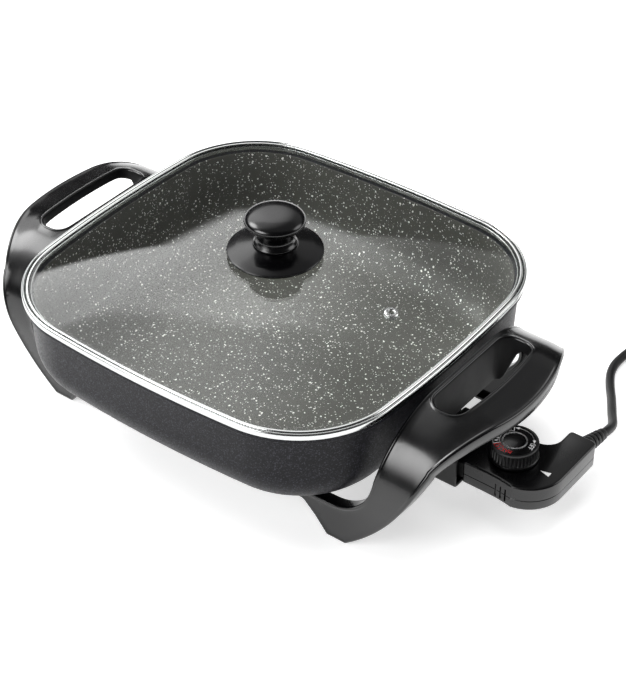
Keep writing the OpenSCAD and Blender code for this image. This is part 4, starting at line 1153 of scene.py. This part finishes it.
class SKILLET_OT_lead(bpy.types.Operator):
    """Mains lead with its strain relief, coil, strap and plug"""
    bl_idname = "skillet.lead"
    bl_label = "Mains lead"

    def execute(self, context):
        profile = [(0, -5), (4.5, -5), (4.5, 0.4), (5.6, 0.5)]
        for k in range(4):
            start, r = 1 + 5.2 * k, 6.2 - 0.4 * k
            profile += [(r - 0.9, start - 0.1), (r - 0.25, start + 0.1), (r, start + 0.7),
                        (r - 0.1, start + 3.0), (r - 0.4, start + 3.5), (r - 1.0, start + 3.7)]
        profile += [(4.5, 21.5), (4.3, RELIEF_L - 0.8), (3.9, RELIEF_L), (0, RELIEF_L)]
        place = Matrix.Translation(RELIEF_AT) @ Matrix.Rotation(
            math.radians(-90 - RELIEF_TILT), 4, "X")
        make_piece("relief_ribbed", placed(lathe(profile, 48), place), "lead", "controller",
                   "soft_black", "strain_relief", sharp=40)
        coil = [coil_point(k / COIL_STEPS) for k in range(COIL_TURNS * COIL_STEPS)]
        route = smooth_line(lead_points())[:-1] + coil + smooth_line(tail_points())
        lead = make_piece("lead_round", tube(route, LEAD_R, 16), "lead", "controller",
                          "soft_black", "cord", "cord_coil", "cord_tail")
        plug = self.plug()
        strap = self.strap()
        return {"FINISHED"}

    def strap(self):
        """Flat strap round the coil's turns."""
        low = COIL_IN_R + COIL_PITCH / 2 - LEAD_R
        high = COIL_IN_R + 1.5 * COIL_PITCH + LEAD_R
        top = LEAD_D + COIL_PITCH - 0.6
        lines = [(y, rounded_rect((low - 0.8 + inset, inset * 0.2),
                                  (high + 0.8 - inset, top + 0.8 - inset), 2))
                 for inset, y in ((0.25, -2.5), (0, -2.2), (0, 2.2), (0.25, 2.5))]
        lines += [(y, rounded_rect((low, 0.8), (high, top), 1.4)) for y in (2.5, -2.5)]
        rings = [[(x, y, z) for x, z in line] for y, line in lines]
        place = Matrix.Translation((*COIL_CENTRE, 0)) @ Matrix.Rotation(
            math.radians(COIL_START - 180), 4, "Z")
        return make_piece("lead_strap", placed(bridge(rings, closed=True), place), "guard",
                          "controller", "matte_black", "cord_tie")

    def plug(self):
        """Moulded round plug lying on its side."""
        place = (Matrix.Translation(PLUG_AT)
                 @ Matrix.Rotation(math.radians(PLUG_TURN), 4, "Z")
                 @ Matrix.Rotation(math.pi / 2, 4, "Y"))
        r, length = PLUG_R, PLUG_L
        body = rounded([(0, 0), (4.8, 0, 0.6), (7, 17, 3), (11, 20, 3), (r - 3.4, 24, 3),
                        (r - 0.6, 26.4, 1.5), (r, 28.5, 1), (r, length, 1.1), (0, length)], 5)
        shell = make_piece("plug_shell", placed(lathe(body), place), "plug", "controller",
                           "soft_black", "plug")
        cut(shell, [placed(block((x, -4, 28), (x + 4, 4, length + 4), 0.4), place)
                    for x in (-r - 1.8, r - 2.2)])
        pin = lathe(rounded([(0, length - 4), (2.4, length - 4), (2.4, length + 17.6, 1.2),
                             (1.2, length + 18.6, 0.5), (0, length + 18.6)]), 32)
        pins = [placed(pin, place @ Matrix.Translation((0, y, 0))) for y in (-9.5, 9.5)]
        strips = [placed(block((x - 0.5, -3.2, 28.4), (x + 0.5, 3.2, length - 0.6), 0.3), place)
                  for x in (1.7 - r, r - 1.7)]
        return [shell, make_piece("plug_pin_pair", joined(*pins), "steel", "controller",
                                  "bright_steel", "plug_pins"),
                make_piece("plug_earth_strips", joined(*strips), "brass", "controller",
                           "brass_contacts", "plug_earth")]


# ---- small parts and studio

class SKILLET_OT_small_parts(bpy.types.Operator):
    """Finishes of the CAD's own screws, pins, element and inner pieces"""
    bl_idname = "skillet.small_parts"
    bl_label = "Small parts"

    FINISHES = {
        "steel": ("guard_screws", "handle_screws", "knob_screw", "knob_washer", "case_screws",
                  "dial_shaft", "element_pins", "probe"),
        "heater": ("heating_element",),
        "ceramic": ("pin_insulators", "switch_block"),
        "rubber": ("knob_gasket",),
        "guard": ("contact_carrier",),
        "brass": ("contact_sleeves", "bimetal_arm"),
    }

    def execute(self, context):
        for finish, names in self.FINISHES.items():
            for name in names:
                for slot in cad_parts[name].material_slots:
                    slot.material = material(finish)
        return {"FINISHED"}


class SKILLET_OT_studio(bpy.types.Operator):
    """White studio: floor, soft lights and the photograph's camera"""
    bl_idname = "skillet.studio"
    bl_label = "Studio"

    def execute(self, context):
        scene, studio = context.scene, context.scene.skillet_studio
        scene.view_settings.view_transform = "Standard"
        floor = bpy.data.meshes.new("studio_floor")
        reach = FLOOR_REACH
        floor.from_pydata([(-reach, -reach, 0), (reach, -reach, 0), (reach, reach, 0),
                           (-reach, reach, 0)], [], [(0, 1, 2, 3)])
        # white paper, lit from behind a little so that it stays white
        floor.materials.append(new_material(
            "studio_paper", Roughness=0.9, Base_Color=colour("#e7e7e7"),
            Emission_Color=colour("#ffffff"), Emission_Strength=0.6)[0])
        sheet = bpy.data.objects.new("studio_floor", floor)
        scene.collection.objects.link(sheet)
        self.room(studio.world)

        light = bpy.data.lights.new("top_softbox", "AREA")
        light.size, light.energy = LAMP_SIDE, LAMP_WATTS
        lamp = bpy.data.objects.new("top_softbox", light)
        scene.collection.objects.link(lamp)
        lamp.location = LAMP_AT
        lamp.rotation_euler = (Vector(LAMP_AT) - Vector(LAMP_AIM)).to_track_quat(
            "Z", "Y").to_euler()
        lamp.visible_glossy = lamp.visible_transmission = lamp.visible_camera = False

        camera = bpy.data.cameras.new("photo_camera")
        camera.lens, camera.sensor_width = studio.focal_mm, SENSOR_MM
        camera.clip_start, camera.clip_end = 0.05, 20
        eye = bpy.data.objects.new("photo_camera", camera)
        scene.collection.objects.link(eye)
        eye.location = CAMERA_AT
        eye.rotation_euler = Vector(CAMERA_BACK).to_track_quat("Z", "Y").to_euler()
        scene.camera = eye
        return {"FINISHED"}

    def room(self, strength):
        """A dim room with its lights painted on the sky, so that nothing stands in the way of
        other views."""
        world = bpy.data.worlds.new("studio_room")
        world.use_nodes = True
        tree = world.node_tree
        way = add_node(tree, "TexCoord").outputs["Generated"]
        height = add_node(tree, "SeparateXYZ", {"Vector": way}).outputs["Z"]
        total = strength
        for ramps in SKY_LIGHTS:
            light = 1.0
            for direction, start, end, low, high in ramps:
                value = height
                if direction:
                    a, e = (math.radians(angle) for angle in direction)
                    aim = (math.cos(e) * math.cos(a), math.cos(e) * math.sin(a), math.sin(e))
                    value = add_node(tree, "VectorMath", {0: way, 1: aim},
                                     operation="DOT_PRODUCT")
                ramp = add_node(tree, "MapRange", {"Value": value, "From Min": start,
                                                   "From Max": end, "To Min": low,
                                                   "To Max": high},
                                interpolation_type="SMOOTHSTEP")
                light = add_node(tree, "Math", {0: ramp, 1: light}, operation="MULTIPLY")
            total = add_node(tree, "Math", {0: light, 1: total}, operation="ADD")
        feed(tree, tree.nodes["Background"], {"Color": colour("#ffffff"), "Strength": total})
        bpy.context.scene.world = world


class SKILLET_PT_panel(bpy.types.Panel):
    """Sizes, colours and the steps that build the skillet"""
    bl_label = "Electric Skillet"
    bl_idname = "SKILLET_PT_panel"
    bl_space_type = "VIEW_3D"
    bl_region_type = "UI"
    bl_category = "Skillet"

    def draw(self, context):
        for name, group in GROUPS.items():
            box = self.layout.box()
            for value in group.__annotations__:
                box.prop(getattr(context.scene, name), value)
        for step in STEPS:
            self.layout.operator(step.bl_idname)


GROUPS = {"skillet_sizes": SkilletSizes, "skillet_colours": SkilletColours,
          "skillet_studio": SkilletStudio}
STEPS = (SKILLET_OT_studio, SKILLET_OT_lead, SKILLET_OT_pan, SKILLET_OT_lid, SKILLET_OT_knob,
         SKILLET_OT_handles, SKILLET_OT_guard, SKILLET_OT_thermostat, SKILLET_OT_dial,
         SKILLET_OT_small_parts)


def register():
    for name, group in GROUPS.items():
        bpy.utils.register_class(group)
        setattr(bpy.types.Scene, name, bpy.props.PointerProperty(type=group))
    for step in STEPS:
        bpy.utils.register_class(step)
    bpy.utils.register_class(SKILLET_PT_panel)


def unregister():
    bpy.utils.unregister_class(SKILLET_PT_panel)
    for step in reversed(STEPS):
        bpy.utils.unregister_class(step)
    for name, group in GROUPS.items():
        delattr(bpy.types.Scene, name)
        bpy.utils.unregister_class(group)


def main():
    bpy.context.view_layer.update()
    register()
    for step in STEPS:
        group, name = step.bl_idname.split(".")
        if getattr(getattr(bpy.ops, group), name)() != {"FINISHED"}:
            raise RuntimeError(step.bl_label + " did not finish")
    bpy.context.view_layer.update()


if __name__ == "__main__":
    main()
